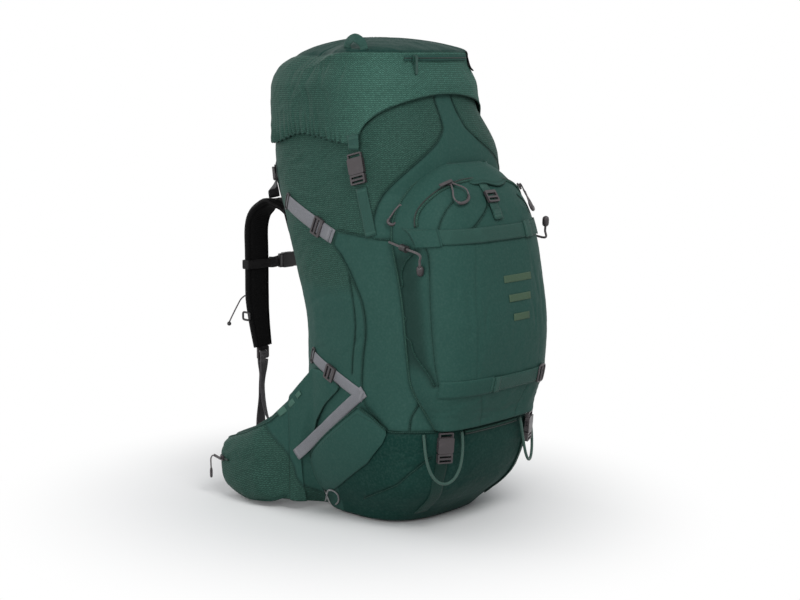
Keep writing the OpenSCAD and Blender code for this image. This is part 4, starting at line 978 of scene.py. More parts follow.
T, K = np.meshgrid(np.radians(np.linspace(-90, 90, 121)), ACROSS)
X, Z = BAND_HALF * np.sin(T), BAND_Z + K * BAND_WIDE
outer, inner = (points(X, band_y(X, Z) - high, Z) for high in web_faces(WEB, K))
slab("front_band", outer, inner, GREEN_WEB, uv=(K * BAND_WIDE, X),
     zone=np.minimum(X + BAND_HALF, BAND_HALF - X), node="front_webbing")
for name, line, width, thick, mat, lift, zone in (
        ("lid_tail", [(0, z) for z in np.linspace(582, 526, 10)], TAPE, WEB, GREEN_WEB, LIFT, None),
        ("lid_tail_fold", [(0, z) for z in np.linspace(541, 525, 5)], TAPE, 1.6, GREEN_WEB, 2.6, None),
        ("front_low_strap", row(-46, 102, LOW_Z, 20), WIDE_TAPE, WEB, GREEN_WEB, LIFT, None),
        ("front_low_tab", row(-137, -42, LOW_Z, 14), 29, 1.4, GREEN, 0.0, 1.0),
        ("front_low_keeper", row(-40, -26, LOW_Z, 4), 27, 1.2, GREEN_WEB, 2.7, None),
        ("front_band_keeper", row(60, 82, BAND_Z, 4), 27, 1.2, GREEN_WEB, 3.4, None)):
    band_on(name, pocket, line, width, thick, mat, lift, zone)


def ring_on(name, surface, centre, way, long, wide, d, lift, mat):
    """A moulded loop that lies on a surface, its long way turned along a direction of its measures."""
    a, b = squared(np.linspace(0, 2 * np.pi, 49)[:-1], 0.4)
    a, b, w = a * long / 2, b * wide / 2, unit(way)
    path, _ = face_of(surface, centre[0] + a * w[0] - b * w[1], centre[1] + a * w[1] + b * w[0], lift)
    tube(name, path, d, mat, closed=True)


def pull_loop(name, surface, line, grip, lift, body):
    """A zip pull: a cord loop with a moulded grip over part of it."""
    q = smooth_path(line + line[:1], 2.0)
    path, _ = face_of(surface, q[:, 0], q[:, 1], lift)
    tube(name, path[:-1], 2.8, GREY_CORD, closed=True, body=body, slot="grey_hardware")
    held = path[int(grip[0] * len(path)):int(grip[1] * len(path))]
    swell = 3.4 + 2.2 * np.sqrt(np.maximum(0, 1 - np.linspace(-1, 1, len(held)) ** 4))
    tube(name + "_grip", held, swell, GREY_PART, body=body)


for side, flat in SIDES:
    for key, line in (("upper", UPPER), ("lower", LOWER)):
        a, b = np.array(line, float)
        w = unit(b - a)
        ring_on(f"{key}_strap_loop_{side}", on_side(left_side, flat), a + w * 3, (-w[1], w[0]), 29, 7, 3.0,
                2.4, BLACK_PART)
ring_on("front_low_buckle", pocket, (BUCKLE_X, LOW_Z), (1, 0), 22, 29, 3.4, 3.6, GREY_PART)
ring_on("front_low_buckle_bar", pocket, (BUCKLE_X, LOW_Z), (0, 1), 26, 4, 3.0, 3.8, GREY_PART)
for name, surface, line, grip, lift, body in (
        ("front_zip_pull_left", pocket, ((-72, 585), (-60, 580), (-50, 573), (-55, 561), (-66, 555),
                                         (-78, 554), (-83, 562), (-77, 574)),
         (0.34, 0.7), 5.0, "front_slider_left"),
        ("front_zip_pull_right", pocket, ((116, 560), (122, 549), (119, 537), (109, 530), (100, 534),
                                          (99, 546), (106, 556)),
         (0.34, 0.7), 7.0, "front_slider_right"),
        ("side_zip_pull", bag_front, ((-131, 552), (-139, 541), (-147, 525), (-143, 520), (-135, 530),
                                      (-128, 546)),
         (0.35, 0.6), 3.0, "pack")):
    pull_loop(name, surface, line, grip, lift, body)
BARS_X = 24
for i, (z, long) in enumerate(((428, 74), (396, 58), (364, 42))):
    line = row(BARS_X - long / 2, BARS_X + long / 2, z, 10)
    band_on(f"olive_bar_{i + 1}", pocket, line, 12, 0.5, OLIVE, 0.1, 1.0)

# Flap over the top of the zip, and the tabs that hold the band's ends
U, V = shares(61, 25)
X = mix(-28.0, 72.0, U)
rise = np.sin(np.pi * U) ** 0.5
Z = mix(577 + 6 * groove(X - 4, 20) + 9 * (1 - rise), 615.0, V)
low = np.minimum(Z, 611.0)
Y = np.minimum(pocket_y(X, low), front_y(X, low) - 2.4) + front_y(X, Z) - front_y(X, low)
proud = rise * (3.9 + 2.4 * (1 - V) ** 2) * (1 - V ** 6)
Y = Y + 0.9 - proud + 0.6 * np.abs(waves(X, Z, 46, 40)) * (1 - V) * V
flap = points(X, Y, Z)
cloth("pocket_flap", flap, 1.2, GREEN, uv=(X, Z), zone=1.0, seam_and_shade=0.5 * groove((V - 0.14) * 40, 1.2))
tube("pocket_flap_edge", flap[0] + np.array([0, 0.6, 0]), 2.2, DEEP)

U, V = shares(36, 15)
X = BAND_HALF * np.sin(np.radians(mix(-88.0, -58.0, U)))
Z = mix(mix(486.0, 490.0, U), mix(512.0, 517.5, U), V)
grid = points(X - 1.2 * np.cos(np.pi / 2 * U), band_y(X, Z) - WEB - 0.8, Z)
for side, flat in SIDES:
    cloth(f"wrap_tab_{side}", flip(side, grid), 1.1, GREEN, zone=1.0,
          seam_and_shade=0.6 * groove(turned(side, 1 - U) - 0.06, 0.02))


def zip_run(name, surface, line, lift, node=None):
    """A hidden zip: its coil, with a sewn welt of cloth along one side."""
    q = smooth_path(line, 3.0)
    p, n = face_of(surface, q[:, 0], q[:, 1], lift)
    t = unit(np.gradient(p, axis=0))
    tube(name + "_welt", p + np.cross(n, t) * 3.6 - n * 0.6, 5.0, GREEN, sides=10)
    tube(name + "_coil", p, 3.0, ZIP, sides=8, node=node)


zip_run("front_zip", pocket, list(zip(*arch(np.linspace(8, 172, 60)))), 0.4, "zip_tapes")
zip_run("foot_zip", bag_front, row(-67, 67, 171, 24), 0.6)

# Lid: a skirt up to the brow, and a dome over it

turn = np.linspace(0, 360, 480, endpoint=False)
d = turn_from(turn, FRONT_TURN)
LID_FRONT_TURN = 62
from_front = ease((d - LID_FRONT_TURN) / 45)
brow = mix(800.0, 768.0, from_front)
crest_z = mix(800.0, 794.0, from_front)
edge_low = skirt(turn) - 15 * ease((d - 95) / 30) * (1 - ease((d - 138) / 20))
edge_low = edge_low + 1.6 * ease((d - 64) / 8) * (1 - ease((d - 130) / 20)) * np.sin(along(turn) * 0.45)
middle = np.array([0, float(mid_y(RIM)), 0])
lid_rows = [lid_pt(turn, mix(edge_low, brow, q)) for q in np.linspace(0, 1, 60)]
skirt_rows = len(lid_rows)
for q in np.r_[np.linspace(0, 1, 48)[1:-1] ** 1.4, 0.998]:
    dome = mix(lid_rows[skirt_rows - 1], middle, q)
    dome[:, 2] = brow + (CROWN + 1 - brow) * (1 - (1 - q) ** 2) ** 0.75
    lid_rows.append(dome)
grid = np.array(lid_rows)
H = grid[..., 2]
S = np.broadcast_to(along(turn), H.shape)
elastic = ease((d - LID_FRONT_TURN) / 10) * np.exp(-(H - edge_low) / 17)
pucker = elastic * ((1 + np.sin(S * 0.5 + 1.5 * np.sin(S * 0.11))) / 2) ** 2
inset = 6.0 * pucker
inset += 0.8 * np.abs(waves(S, H, 61, 80, stretch=0.8)) + 0.3 * np.abs(waves(S, H, 62, 30))
inset += 2.2 * creases(S, H, 63, 26, (230, 400, 670, 780), 60, 80, 30, 5.0) * ease((d - 40) / 30)
inset += 1.5 * groove(H - crest_z, 2.6)
inset[skirt_rows:] += 1.2 * np.abs(waves(grid[..., 0], grid[..., 1], 64, 90))[skirt_rows:]
grid = grid - facing(grid, True) * inset[..., None]
zone = 2.0 * ease((H - crest_z) / 1.5)
seam_and_shade = np.maximum(0.75 * groove(H - crest_z, 1.6), 0.7 * groove(H - edge_low, 2.5))
# Painted shade in the pucker valleys along the elastic hem
seam_and_shade = np.maximum(seam_and_shade, 0.75 * pucker)
# Painted shade: the lid's rippled cloth grows darker towards its sides, away from the front
seam_and_shade = np.maximum(seam_and_shade, 0.6 * ease((d - 38) / 50) * (zone < 1))
cloth("lid_cloth", grid, 1.8, LID_GREEN_PAINTED_LIGHTER, wrap=True, uv=(S, H), zone=zone, seam_and_shade=seam_and_shade, body="lid",
      node="lid_shell")
LID_TOP_FROM = 765
lid_top = grid[grid[..., 2] > LID_TOP_FROM]


def lid_spot(x, y, lift):
    """A point that far above the lid's top."""
    closest = lid_top[np.argmin(np.hypot(lid_top[:, 0] - x, lid_top[:, 1] - y))]
    return np.array([x, y, closest[2] + lift])


for name, spots, step, up, width, thick, mat in (
        ("lid_top_loop", ((-122, 2, -2), (-124, -2, 9), (-123, -16, 17), (-121, -31, 11), (-120, -36, -2)),
         3.0, (-0.9, -0.2, 0.3), 15, 1.8, GREEN_WEB),
        ("lid_corner_tab", ((88, -76, 0.6), (95, -79, 2.4), (101, -81, 1.0)), 2.5, (0.2, -0.3, 1.0), 10, 2.4,
         BLACK_WEB)):
    band(name, smooth_path([lid_spot(*q) for q in spots], step), unit(up), width, thick, mat, body="lid")
tube("lid_hem", lid_pt(turn, edge_low + 0.8, -2.2), 3.0, DEEP, closed=True, body="lid")

LID_FLOOR_Z = 761.2
floor_ring = section(turn, RIM, LID_FLOOR_Z, lid_off(LID_FLOOR_Z + 1.3) - LID_T - SEAT - 0.2)
inward = np.linspace(1, 0.004, 20)[:, None, None]
grid = mix(middle + np.array([0, 0, LID_FLOOR_Z]), floor_ring[None], inward)
grid[..., 2] += 0.9 * waves(grid[..., 0], grid[..., 1], 65, 70) * (1 - inward[..., 0] ** 6)
under = cloth("lid_floor_cloth", grid, 1.1, DEEP, wrap=True, zone=2.0, body="lid", node="lid_floor")
wide, long, _ = np.ptp(floor_ring, 0) * MM

LID_ZIP_Z, LID_ZIP_Y = 789, 225.5
K, F = np.meshgrid(np.linspace(-0.5, 0.5, 7), np.radians(np.linspace(256, 284, 50)), indexing="ij")
for name, r, high, bulge, mat, node in (("lid_zip_tape", 321.4, 9.0, 0.0, GREEN, "lid_zip"),
                                        ("lid_zip_coil", 322.0, 1.8, 0.5, ZIP, None)):
    outer, inner = (points(q * np.cos(F), LID_ZIP_Y + q * np.sin(F), LID_ZIP_Z + K * high)
                    for q in (r + bulge * (1 - (2 * K) ** 2), r - 0.9))
    slab(name, outer, inner, mat, uv=(K * high, F * r), zone=1.0, body="lid", slot="black_webbing", node=node)

LID_BUCKLE_Z = 600.0
lid_up = unit(bag_pt(LID_A, LID_BUCKLE_Z + 30) - bag_pt(LID_A, LID_BUCKLE_Z - 30))
lid_out = bag_out(LID_A, LID_BUCKLE_Z)
socket_top = box_mm("lid_buckle_sockets")[1][2]
high = [lid_pt(LID_A, z, SEAT) for z in np.linspace(664, 648, 4)]
bar = bag_pt(LID_A, LID_BUCKLE_Z, 2.6) + lid_up * (socket_top + 1.5 - LID_BUCKLE_Z) / lid_up[2]
bar = bar + lid_out * 3.0
lid_run = smooth_path(high + [mix(high[-1], bar, 0.55) + lid_out * 0.6, bar])
rear_run = np.array([lid_pt(118.0, z, SEAT) for z in np.linspace(670, 750, 14)])
anchor_run = np.array([bag_pt(LID_A, z, LIFT) for z in np.linspace(578, 500, 16)])
for side, flat in SIDES:
    for key, run, up, body, node in (("strap", lid_run, lid_out, "lid", "lid_straps"),
                                     ("rear_tape", rear_run, unit([-0.55, 0.8, 0]), "lid", None),
                                     ("anchor_tape", anchor_run, lid_out, "pack", "lid_anchor_tapes")):
        band(f"lid_{key}_{side}", run * flat, up * flat, TAPE, WEB, GREEN_WEB, body=body,
             node=left_only(side, node))


# Fittings: pad straps, axe loops, tool cords, loose cords and the haul loop

def loose_cord(name, path, d, mat, end, stiff, lay, pieces=(), **place):
    """A cord drawn as a round tube along the path it hangs or lies on."""
    obj = tube(name, path, d, mat, sides=10, **place)


def knob(name, place, d, mat, **rest):
    """A small moulded ball with a neck, turned about the upright."""
    turn, up = np.meshgrid(np.linspace(0, 2 * np.pi, 28, endpoint=False), np.linspace(-0.5, 0.5, 17))
    r = d / 2 * np.sqrt(np.maximum(0.02, 1 - (2 * up) ** 2)) * (1 - 0.1 * groove(up - 0.12, 0.06))
    grid = points(place[0] + r * np.cos(turn), place[1] + r * np.sin(turn), place[2] + up * d)
    return slab(name, grid, mix(place, grid, 0.4), mat, wrap=True, **rest)


AXE_X, AXE_Z, AXE_DROP, AXE_OUT = (76.0, 138.0), 177.0, 84, 11
axe_in, axe_out = (np.array([x, float(front_y(x, AXE_Z)) - 3, AXE_Z]) for x in AXE_X)
axe_face = unit(np.cross(axe_out - axe_in, (0, 0, 1)))
half_turn = np.linspace(0, np.pi, 61)
bend = np.maximum(0, np.sin(half_turn))
axe_path = mix(axe_in, axe_out, ((1 - np.cos(half_turn)) / 2)[:, None])
axe_path = axe_path - np.array([0, 0, AXE_DROP]) * (bend ** 0.7)[:, None]
axe_path = resample(axe_path + axe_face * AXE_OUT * (bend ** 0.5)[:, None], 3.0) * np.array([-1.0, 1.0, 1.0])

TOOL_TOP, TOOL_MID, TOOL_LOW = 492.0, 468.0, 454.0
tool_y = float(mid_y(TOOL_TOP) - 0.7 * half_y(TOOL_TOP))
tool_from = np.array([-float(side_x(tool_y, TOOL_TOP)) - 2.125, tool_y, TOOL_TOP])
tool_y = float(pocket_y(0.95 * pocket_w(TOOL_MID), TOOL_MID)) - 9
tool_bend = np.array([-float(pocket_w(TOOL_MID)) - 13, tool_y, mix(TOOL_TOP, TOOL_MID, 0.55)])
tool_y = float(pocket_y(-136.0, TOOL_LOW)) + 15
tool_to = np.array([float(pocket_x(tool_y, TOOL_LOW)) - 8, tool_y, TOOL_LOW])
TOOL_END = {"left": tool_to, "right": tool_to + np.array([-6.0, -14.0, 50.0])}

for side, flat in SIDES:
    pad_line = [(-flat[0] * line_at(PAD_X, z), z) for z in np.linspace(163, 24, 30)]
    band_on(f"pad_strap_{side}", bag_front, pad_line, 18, WEB, FOOT_WEB, 0.1,
            node=left_only(side, "pad_straps"))
    loose_cord(f"axe_loop_cord_{side}", axe_path * flat, 5.0, CORD, "object", "limp", "hanging",
               body=f"axe_{side}", node=f"axe_loop_{side}")
    end = TOOL_END[side]
    run = smooth_path([tool_from, mix(tool_from, tool_bend, 0.5), tool_bend, mix(tool_bend, end, 0.5), end],
                      2.5)
    loose_cord(f"tool_cord_{side}", run * flat, 4.0, GREY_CORD, "knot", "medium", "loose",
               slot="black_webbing", node=left_only(side, "tool_cords"))
    end_run = end + unit(run[-1] - run[-4]) * np.linspace(-4, 14, 14)[:, None]
    swell = 12 * np.sqrt(np.maximum(0.08, 1 - np.linspace(-0.85, 1, 14) ** 4))
    tube(f"tool_cord_end_{side}", end_run * flat, swell, GREY_PART, slot="black_hardware")

bungee = smooth_path([(-131, 54, 17), (-141, 42, 24), (-150, 31, 35), (-155, 22, 46), (-153, 12, 47),
                      (-146, 8, 39), (-137, 15, 25), (-129, 30, 14)], 2.0)
hip_pull = smooth_path([(-197, 276, 72), (-198, 280.5, 70.5), (-199, 283, 65), (-199, 283, 56),
                        (-199, 282.5, 45)], 2.0)
hip_grip = hip_pull[-1] - np.array([0, 0, 1]) * np.linspace(-3, 15, 10)[:, None]
strap_pull = smooth_path([(-112, 280.4, 357), (-119, 284, 351), (-124, 288, 340), (-130, 293, 325),
                          (-136, 298, 309)], 2.0)
q, w = squared(np.linspace(0, 2 * np.pi, 41)[:-1], 0.4)
strap_ring = points(-117.5, 272 + 9 * q, 320 + 7 * w)
for side, flat in SIDES:
    slider = f"hip_zip_slider_{side}"
    loose_cord(f"hip_bungee_{side}", bungee * flat, 3.0, SILVER_CORD, "object", "limp", "loose")
    grip = tube(f"hip_zip_grip_{side}", hip_grip * flat, 5.2 - 1.6 * np.linspace(-1, 1, 10) ** 4, GREY_PART,
                body=slider)
    loose_cord(f"hip_zip_cord_{side}", hip_pull * flat, 2.6, GREY_CORD, "fitting", "limp", "hanging", [grip],
               body=slider)
    ball = knob(f"strap_bungee_end_{side}", (strap_pull[-1] - np.array([0.6, 0, 3.4])) * flat, 8, BLACK_PART,
                body="harness")
    loose_cord(f"strap_bungee_{side}", strap_pull * flat, 2.6, GREY_CORD, "knot", "limp", "hanging", [ball],
               body="harness", slot="black_webbing")
    tube(f"strap_side_ring_{side}", strap_ring * flat, 4.0, BLACK_PART, closed=True, body="harness",
         slot="grey_hardware")

HAUL_Z, HAUL_HALF = 640.0, 34.0
haul_y = float(rear_y(HAUL_HALF, HAUL_Z)) + 4.25
haul = points(-HAUL_HALF * np.cos(half_turn), haul_y + 9 * bend ** 0.6, HAUL_Z - 46 * bend ** 0.55)
loose_cord("haul_handle", resample(haul, 3.0), 8.6, BLACK_WEB, "object", "stiff", "hanging", body="haul",
           node="haul_loop")

# Harness

X, Z, U, V = back_grid(-104, 104, 434, 522, 81, 41)
rim = np.minimum(1, 5 * np.minimum(U, 1 - U)) * np.minimum(1, 5 * np.minimum(V, 1 - V))
sew = groove((V - 0.5) * 88, 3.0)
top = 0.9 + 7.9 * (0.55 + 0.45 * ease(rim)) - 1.6 * sew
yoke = slab("yoke_pad", back_points(X, Z, PAD_OFF + top), back_points(X, Z, PAD_OFF + 0.9), MESH,
            seam_and_shade=0.7 * sew, body="harness", node="yoke")

STRAP_X, STRAP_Y, STRAP_HALF, STRAP_PAD = -90, 272, 26, 7.4


def root_y(z):
    """Depth of a shoulder strap's root, over the yoke."""
    return float(rear_y(30.0, z)) + PAD_OFF + 0.4 + 8 + SEAT + 15 * 0.545


STRAP = np.array([[-46, root_y(486), 486], [-50, root_y(508), 508], [-58, root_y(521) + 9, 523],
                  [-69, (root_y(521) + STRAP_Y) / 2 + 3, 528], [-80, 259, 518], [-87, 268, 503],
                  [STRAP_X, STRAP_Y, 479], [STRAP_X, STRAP_Y, 440], [STRAP_X, STRAP_Y, 400],
                  [STRAP_X, STRAP_Y, 350], [-89, 268, 306], [-87, 262, 262]])
p = smooth_path(STRAP, 5.0)
knots = [0] + [int(np.argmin(np.linalg.norm(p - q, axis=1))) for q in STRAP[1:]]
at = np.interp(np.arange(len(p)), knots, np.arange(len(STRAP)))
t = unit(np.gradient(p, axis=0))
u = unit(np.array([1.0, 0, 0]) - t * t[:, :1])
v = np.cross(t, u)
wide = STRAP_HALF * np.interp(at, [0, 2, 9, 11], [0.8, 1, 1, 0.74])
across, deep = squared(np.linspace(0, 2 * np.pi, 48, endpoint=False), 0.5)
pinch = 1 - 0.3 * groove(np.abs(across) - 0.74, 0.07)
rings = p[:, None] + u[:, None] * (wide[:, None] * across)[..., None]
rings = rings + v[:, None] * (STRAP_PAD * deep * pinch)[None, :, None]
out = v * np.sign((v * np.array([0, 1.0, 0.4])).sum(1).mean())
for side, flat in SIDES:
    pad = loft(f"shoulder_strap_pad_{side}", flip(side, rings), MESH, body="harness",
               node=f"shoulder_strap_{side}")
    band(f"strap_webbing_{side}", (p + out * STRAP_PAD)[18:-6] * flat, out[18:-6] * flat, TAPE, 1.6,
         BLACK_WEB, body="harness")
    for key, edge in (("out", -1), ("in", 1)):
        tube(f"strap_binding_{side}_{key}", (p + u * (wide * edge * 0.985)[:, None]) * flat, 4.4, BLACK_WEB,
             sides=10, body="harness")

LIFTER_A, LIFTER_Z = 132.0, 574.0


def lifter(up, off=0.0):
    """A point off the packbag, on the load lifter's line."""
    z = LIFTER_Z + up
    return bag_pt(LIFTER_A, z) + bag_out(LIFTER_A, z) * off


def from_to(path):
    """Shares along a path, as a column."""
    return np.linspace(0, 1, len(path))[:, None]


# Webbing goes round a bar of the lock below the strap: away from the lock, round the bar and back
LOCK_Y, BAR_Y = 2.4, 1.4
crest = STRAP[3] + np.array([0, 0, 8.7])
low = STRAP[-1] - np.array([0, 0, 23.0])
lock = low + np.array([0, 0, 11.2])
anchor = np.array([-128, float(rear_y(128.0, 118.0)) + 8.6, 118.0])


def round_bar(far, close, bar, middle):
    """A path round a bar of the lock and the way it faces, from the heights of its ends, bends and turn."""
    path = lock + np.array([(0, LOCK_Y, far), (0, LOCK_Y, close), (0, BAR_Y, bar),
                            (0, -BAR_Y, bar), (0, -LOCK_Y, close), (0, -LOCK_Y, far)])
    path = resample(path, 0.7)
    return path, unit((path - lock - np.array([0, 0, middle])) * np.array([0, 1, 1]))


lift_start = lifter(0, LIFT)
lift_run = smooth_path([lifter(28, LIFT), lifter(14, LIFT), lift_start,
                        mix(lifter(0), crest, 0.35) + np.array([0, 8, 0.5]), crest], 3.0)
lift_up = unit(mix(bag_out(LIFTER_A, LIFTER_Z + 14), np.array([0, 0.3, 1.0]), ease(from_to(lift_run))))
tape_run, tape_up = round_bar(16, 6.4, 5, 8.2)
turn_run, turn_up = round_bar(-11.2, -0.6, 0.5, -1.8)
lower_run = smooth_path([low - [0, LOCK_Y + WEB, 0], (-100, 248, 182), (-111, 222, 134), (-122, 172, 112),
                         anchor])
f = from_to(lower_run)
lower_up = mix(np.array([0, 1.0, 0]), np.array([-0.42, 0.9, 0]), ease(f / 0.2))
lower_up = unit(mix(lower_up, np.array([0, 0.9, -0.4]), ease((f - 0.45) / 0.5)))
tail_run = smooth_path(low + np.array([(0, LOCK_Y + WEB, 0), (-1, 5, -30), (-2, 6, -60), (-3, 6, -128)]))
f = from_to(tail_run)[:, 0]
twist = 0.45 * ease(f / 0.25) - 0.6 * ease((f - 0.5) / 0.5)
tail_up = points(np.sin(twist), -np.cos(twist), 0.0)
for side, flat in SIDES:
    piece = band(f"load_lifter_{side}", lift_run * flat, lift_up * flat, TAPE, WEB, DARK_WEB, body=None,
                 node=left_only(side, "harness_webbing"))
    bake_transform(piece)
    band(f"strap_end_tape_{side}", tape_run * flat, tape_up * flat, TAPE, WEB, BLACK_WEB, body="harness")
    band(f"strap_lock_turn_{side}", turn_run * flat, turn_up * flat, TAPE, WEB, MID_WEB, body="harness")
    piece = band(f"strap_lower_webbing_{side}", lower_run * flat, lower_up * flat, TAPE, WEB, MID_WEB,
                 body=None)
    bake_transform(piece)
    band(f"strap_tail_{side}", tail_run * flat, tail_up * flat, TAPE, WEB, MID_WEB, body="harness")

STERNUM_Z = 415
q, w = squared(np.linspace(0, 2 * np.pi, 64, endpoint=False), 0.25)
high = np.linspace(-8, 8, 9)[:, None]
swell = 0.35 * (1 - (high / 8) ** 6)
STERNUM_FROM = 60.8
sternum_ends = {"left": (-STERNUM_FROM, box_mm("sternum_socket")[0][0] - 0.3),
                "right": (box_mm("sternum_tongue")[1][0] + 0.3, STERNUM_FROM)}
for side, flat in SIDES:
    outer, inner = (points(STRAP_X * flat[0] + q * half, STRAP_Y + w * deep, STERNUM_Z + high)
                    for half, deep in ((28.3 + swell, 9.8 + swell), (26.8, 8.3)))
    slab(f"sternum_sleeve_{side}", outer, inner, BLACK_WEB, wrap=True, zone=30.0, body="sternum",
         node=left_only(side, "sternum_bands"))
for side, (x0, x1) in sternum_ends.items():
    run = points(np.linspace(x0, x1, 14), STRAP_Y - 1, STERNUM_Z - 1.5 * np.sin(np.linspace(0, np.pi, 14)))
    band(f"sternum_strap_{side}", run, (0, 1.0, 0), TAPE, WEB, DARK_WEB, body="sternum",
         node=left_only(side, "sternum_webbing"))

# Hip belt

FIN_C, FIN_SAG = np.array([67.845, 168.081]), 16
FIN_A, FIN_B = np.array([-161.73, 100.5]), np.array([-147.73, 272.0])
FIN_R = (np.linalg.norm(FIN_B - FIN_A) ** 2 / 4 + FIN_SAG ** 2) / (2 * FIN_SAG)
FIN_0 = math.degrees(math.atan2(*(FIN_A - FIN_C)[::-1])) + 360
FIN_1 = math.degrees(math.atan2(*(FIN_B - FIN_C)[::-1]))
FIN_HIGH = ((0, 204), (0.25, 164), (0.5, 138), (1, 104))
FIN_LOW = ((0, 16), (0.5, 10), (1, 24))
FIN_LONG, HIP_END, HIP_TALL, HIP_ZIP_Z, BELT_Z = 170, 0.948, 0.9, 72, 66
HIP_SEAM = ((50, 20), (62, 33), (75, 46), (84, 62), (88, 80), (100, 98), (120, 119))
WING_FRONT = ((12, 62), (40, 50), (58, 52), (87, 56), (140, 44), (172, 31), (206, 5), (236, -29), (243, -32),
              (250, -17), (260, 7), (266, 28))
WING_TOP, WING_SLOPE = 264, 58
# How far the cloth over the hinge reaches along the wing, and its share of the fin
FLEX_WING, FLEX_FIN = 26, 0.13


def fin_end(s):
    return np.sqrt(np.maximum(0, 1 - np.clip((s - 0.82) / 0.19, 0, 1) ** 2))


def fin_mid(s):
    return (line_at(FIN_HIGH, s) + line_at(FIN_LOW, s)) / 2


def fin_tall(s):
    return (line_at(FIN_HIGH, s) - line_at(FIN_LOW, s)) / 2 * mix(0.4, 1, fin_end(s))


def fin_z(s, v):
    return fin_mid(s) + fin_tall(s) * v


def fin_thick(s):
    return 12 * mix(0.45, 1, fin_end(s)) * mix(0.5, 1, ease(s / 0.12))


def fin_pt(s, r, z):
    a = np.radians(mix(FIN_0, FIN_1, s))
    return points(FIN_C[0] + r * np.cos(a), FIN_C[1] + r * np.sin(a), z)


def fin_skin(s, v):
    return FIN_R + fin_thick(s) * bow(v, 3)


def hip_slant(s, z):
    """How far behind the pocket's slanting front seam a point lies, in millimetres."""
    return (s - 0.3 * (z - 98) / 54) * 140


def hip_face(s, v, off=0.0):
    """The hip pocket's outer face on the left fin."""
    z = fin_z(s, v)
    start = np.sqrt(np.clip((hip_slant(s, z) + 4) / 30, 0, 1)) * ease(s / 0.34) ** 1.1
    start = np.where(s < 0.5, start, 1.0)
    rear = np.sqrt(np.maximum(0, 1 - (np.maximum(s - 0.5, 0) / 0.452) ** 10))
    full = 24 * start * rear * bow(np.clip(v / HIP_TALL, -1, 1), 2.5)
    z = z - 12 * ease((s + 0.04) / 0.3) * ease((-0.05 - v) / 0.7)
    return fin_pt(s, fin_skin(s, v) + SEAT + 1.9 + full + off, z)


def belt_face(y, z):
    """The belt's outer face on the left, over the hinge from the wing to the fin."""
    s = np.clip((y - FIN_A[1]) / (FIN_B[1] - FIN_A[1]), 0, 1)
    q = np.clip(np.where(y < HINGE_Y, (y - HINGE_Y) / FLEX_WING, s / 0.12), -1, 1)
    fin = hip_face(s, np.clip((z - fin_mid(s)) / fin_tall(s), -0.97, 0.97))
    x = mix(-wing_x(np.minimum(y, HINGE_Y), z) - WING_T, fin[..., 0], ease((q + 0.15) / 0.9))
    return points(x, np.where(y < HINGE_Y, y, fin[..., 1]), z)


def fin_grid(first, last, nu, high, nv):
    """Shares along the fin and across it, closer at its edges, in columns that face out on the left."""
    across = high * np.sin(np.linspace(-np.pi / 2, np.pi / 2, nv))
    return np.meshgrid(np.linspace(first, last, nu)[::-1], across)


def seam_marks(side, y, z):
    """Smooth cloth above the belt's seam, and the seam's dark line, partly painted shade in its groove."""
    return {"zone": turned(side, 1.0 * (z > line_at(HIP_SEAM, y))),
            "seam_and_shade": turned(side, 0.8 * groove(near(y, z, HIP_SEAM)[0], 2.2))}


S, A = np.meshgrid(np.linspace(0, 1, 61), np.linspace(0, 2 * np.pi, 56, endpoint=False), indexing="ij")
c, v = squared(A, 0.667)
quilt = 1 - 0.4 * (groove(v - 0.35, 0.07) + groove(v + 0.35, 0.07)) * (np.abs(v) < 0.8)
rings = fin_pt(S, FIN_R + fin_thick(S) * c * np.where(c < 0, quilt, 1.0), fin_z(S, v))

# The pocket on the fin
S, V = fin_grid(0.0, HIP_END, 97, HIP_TALL, 61)
hip_z = fin_z(S, V)
hip_s = S * FIN_LONG
inset = 0.8 * np.abs(waves(hip_s, V * 70, 71, 50))
inset = inset + 1.6 * creases(hip_s, V * 70, 72, 14, (20, 150, -50, 50), 40, 20, 50, 4.0)
inset = inset * (ease((HIP_TALL - np.abs(V)) / 0.12) * ease(S / 0.05) * ease((HIP_END - S) / 0.05))
inset = inset + 0.8 * (groove(hip_z - HIP_ZIP_Z, 3.0) * (S > 0.1) * (S < 0.93))
hip_front = hip_face(S, V)
hip_front = hip_front - facing(hip_front) * inset[..., None]
hip_back = fin_pt(S, fin_skin(S, V) + SEAT + 0.4, hip_z)
hip_zone = 1.0 * (hip_slant(S, hip_z) < 0)
# The pocket's edges and its slanting seam are darkened, partly as painted shade in their grooves
hip_seam = np.maximum(0.5 * groove(np.abs(V) - 0.84, 0.02), 0.8 * groove(hip_slant(S, hip_z), 2.2))
run = np.linspace(0.7, 0.93, 60)
hip_coil = hip_face(run, (HIP_ZIP_Z - fin_mid(run)) / fin_tall(run), 0.2)

# The fin's outer cloth, and the cloth that bends over the hinge
S, V = fin_grid(0.0, 0.995, 61, 0.985, 41)
fin_cover = fin_pt(S, fin_skin(S, V) + 0.85, fin_z(S, V))
S, V = np.meshgrid(np.linspace(-1, 1, 41)[::-1], np.linspace(0, 1, 46))
on_fin = np.clip(S, 0, 1) * FLEX_FIN
y = HINGE_Y + np.where(S < 0, S * FLEX_WING, S * FLEX_FIN * (FIN_B[1] - FIN_A[1])) - 0.3
top = mix(WING_TOP - (y - WING_Y) * WING_SLOPE / WING_RUN - 1, fin_z(on_fin, 0.97), ease(S + 0.6))
flex = belt_face(y, mix(mix(17.0, fin_z(on_fin, -0.9) - 6, ease(S + 0.6)), top, V))
flex[..., 0] = flex[..., 0] - mix(1.0, -3.2, ease((S - 0.4) / 0.6)) + 1.6 * ease((-0.6 - S) / 0.4)

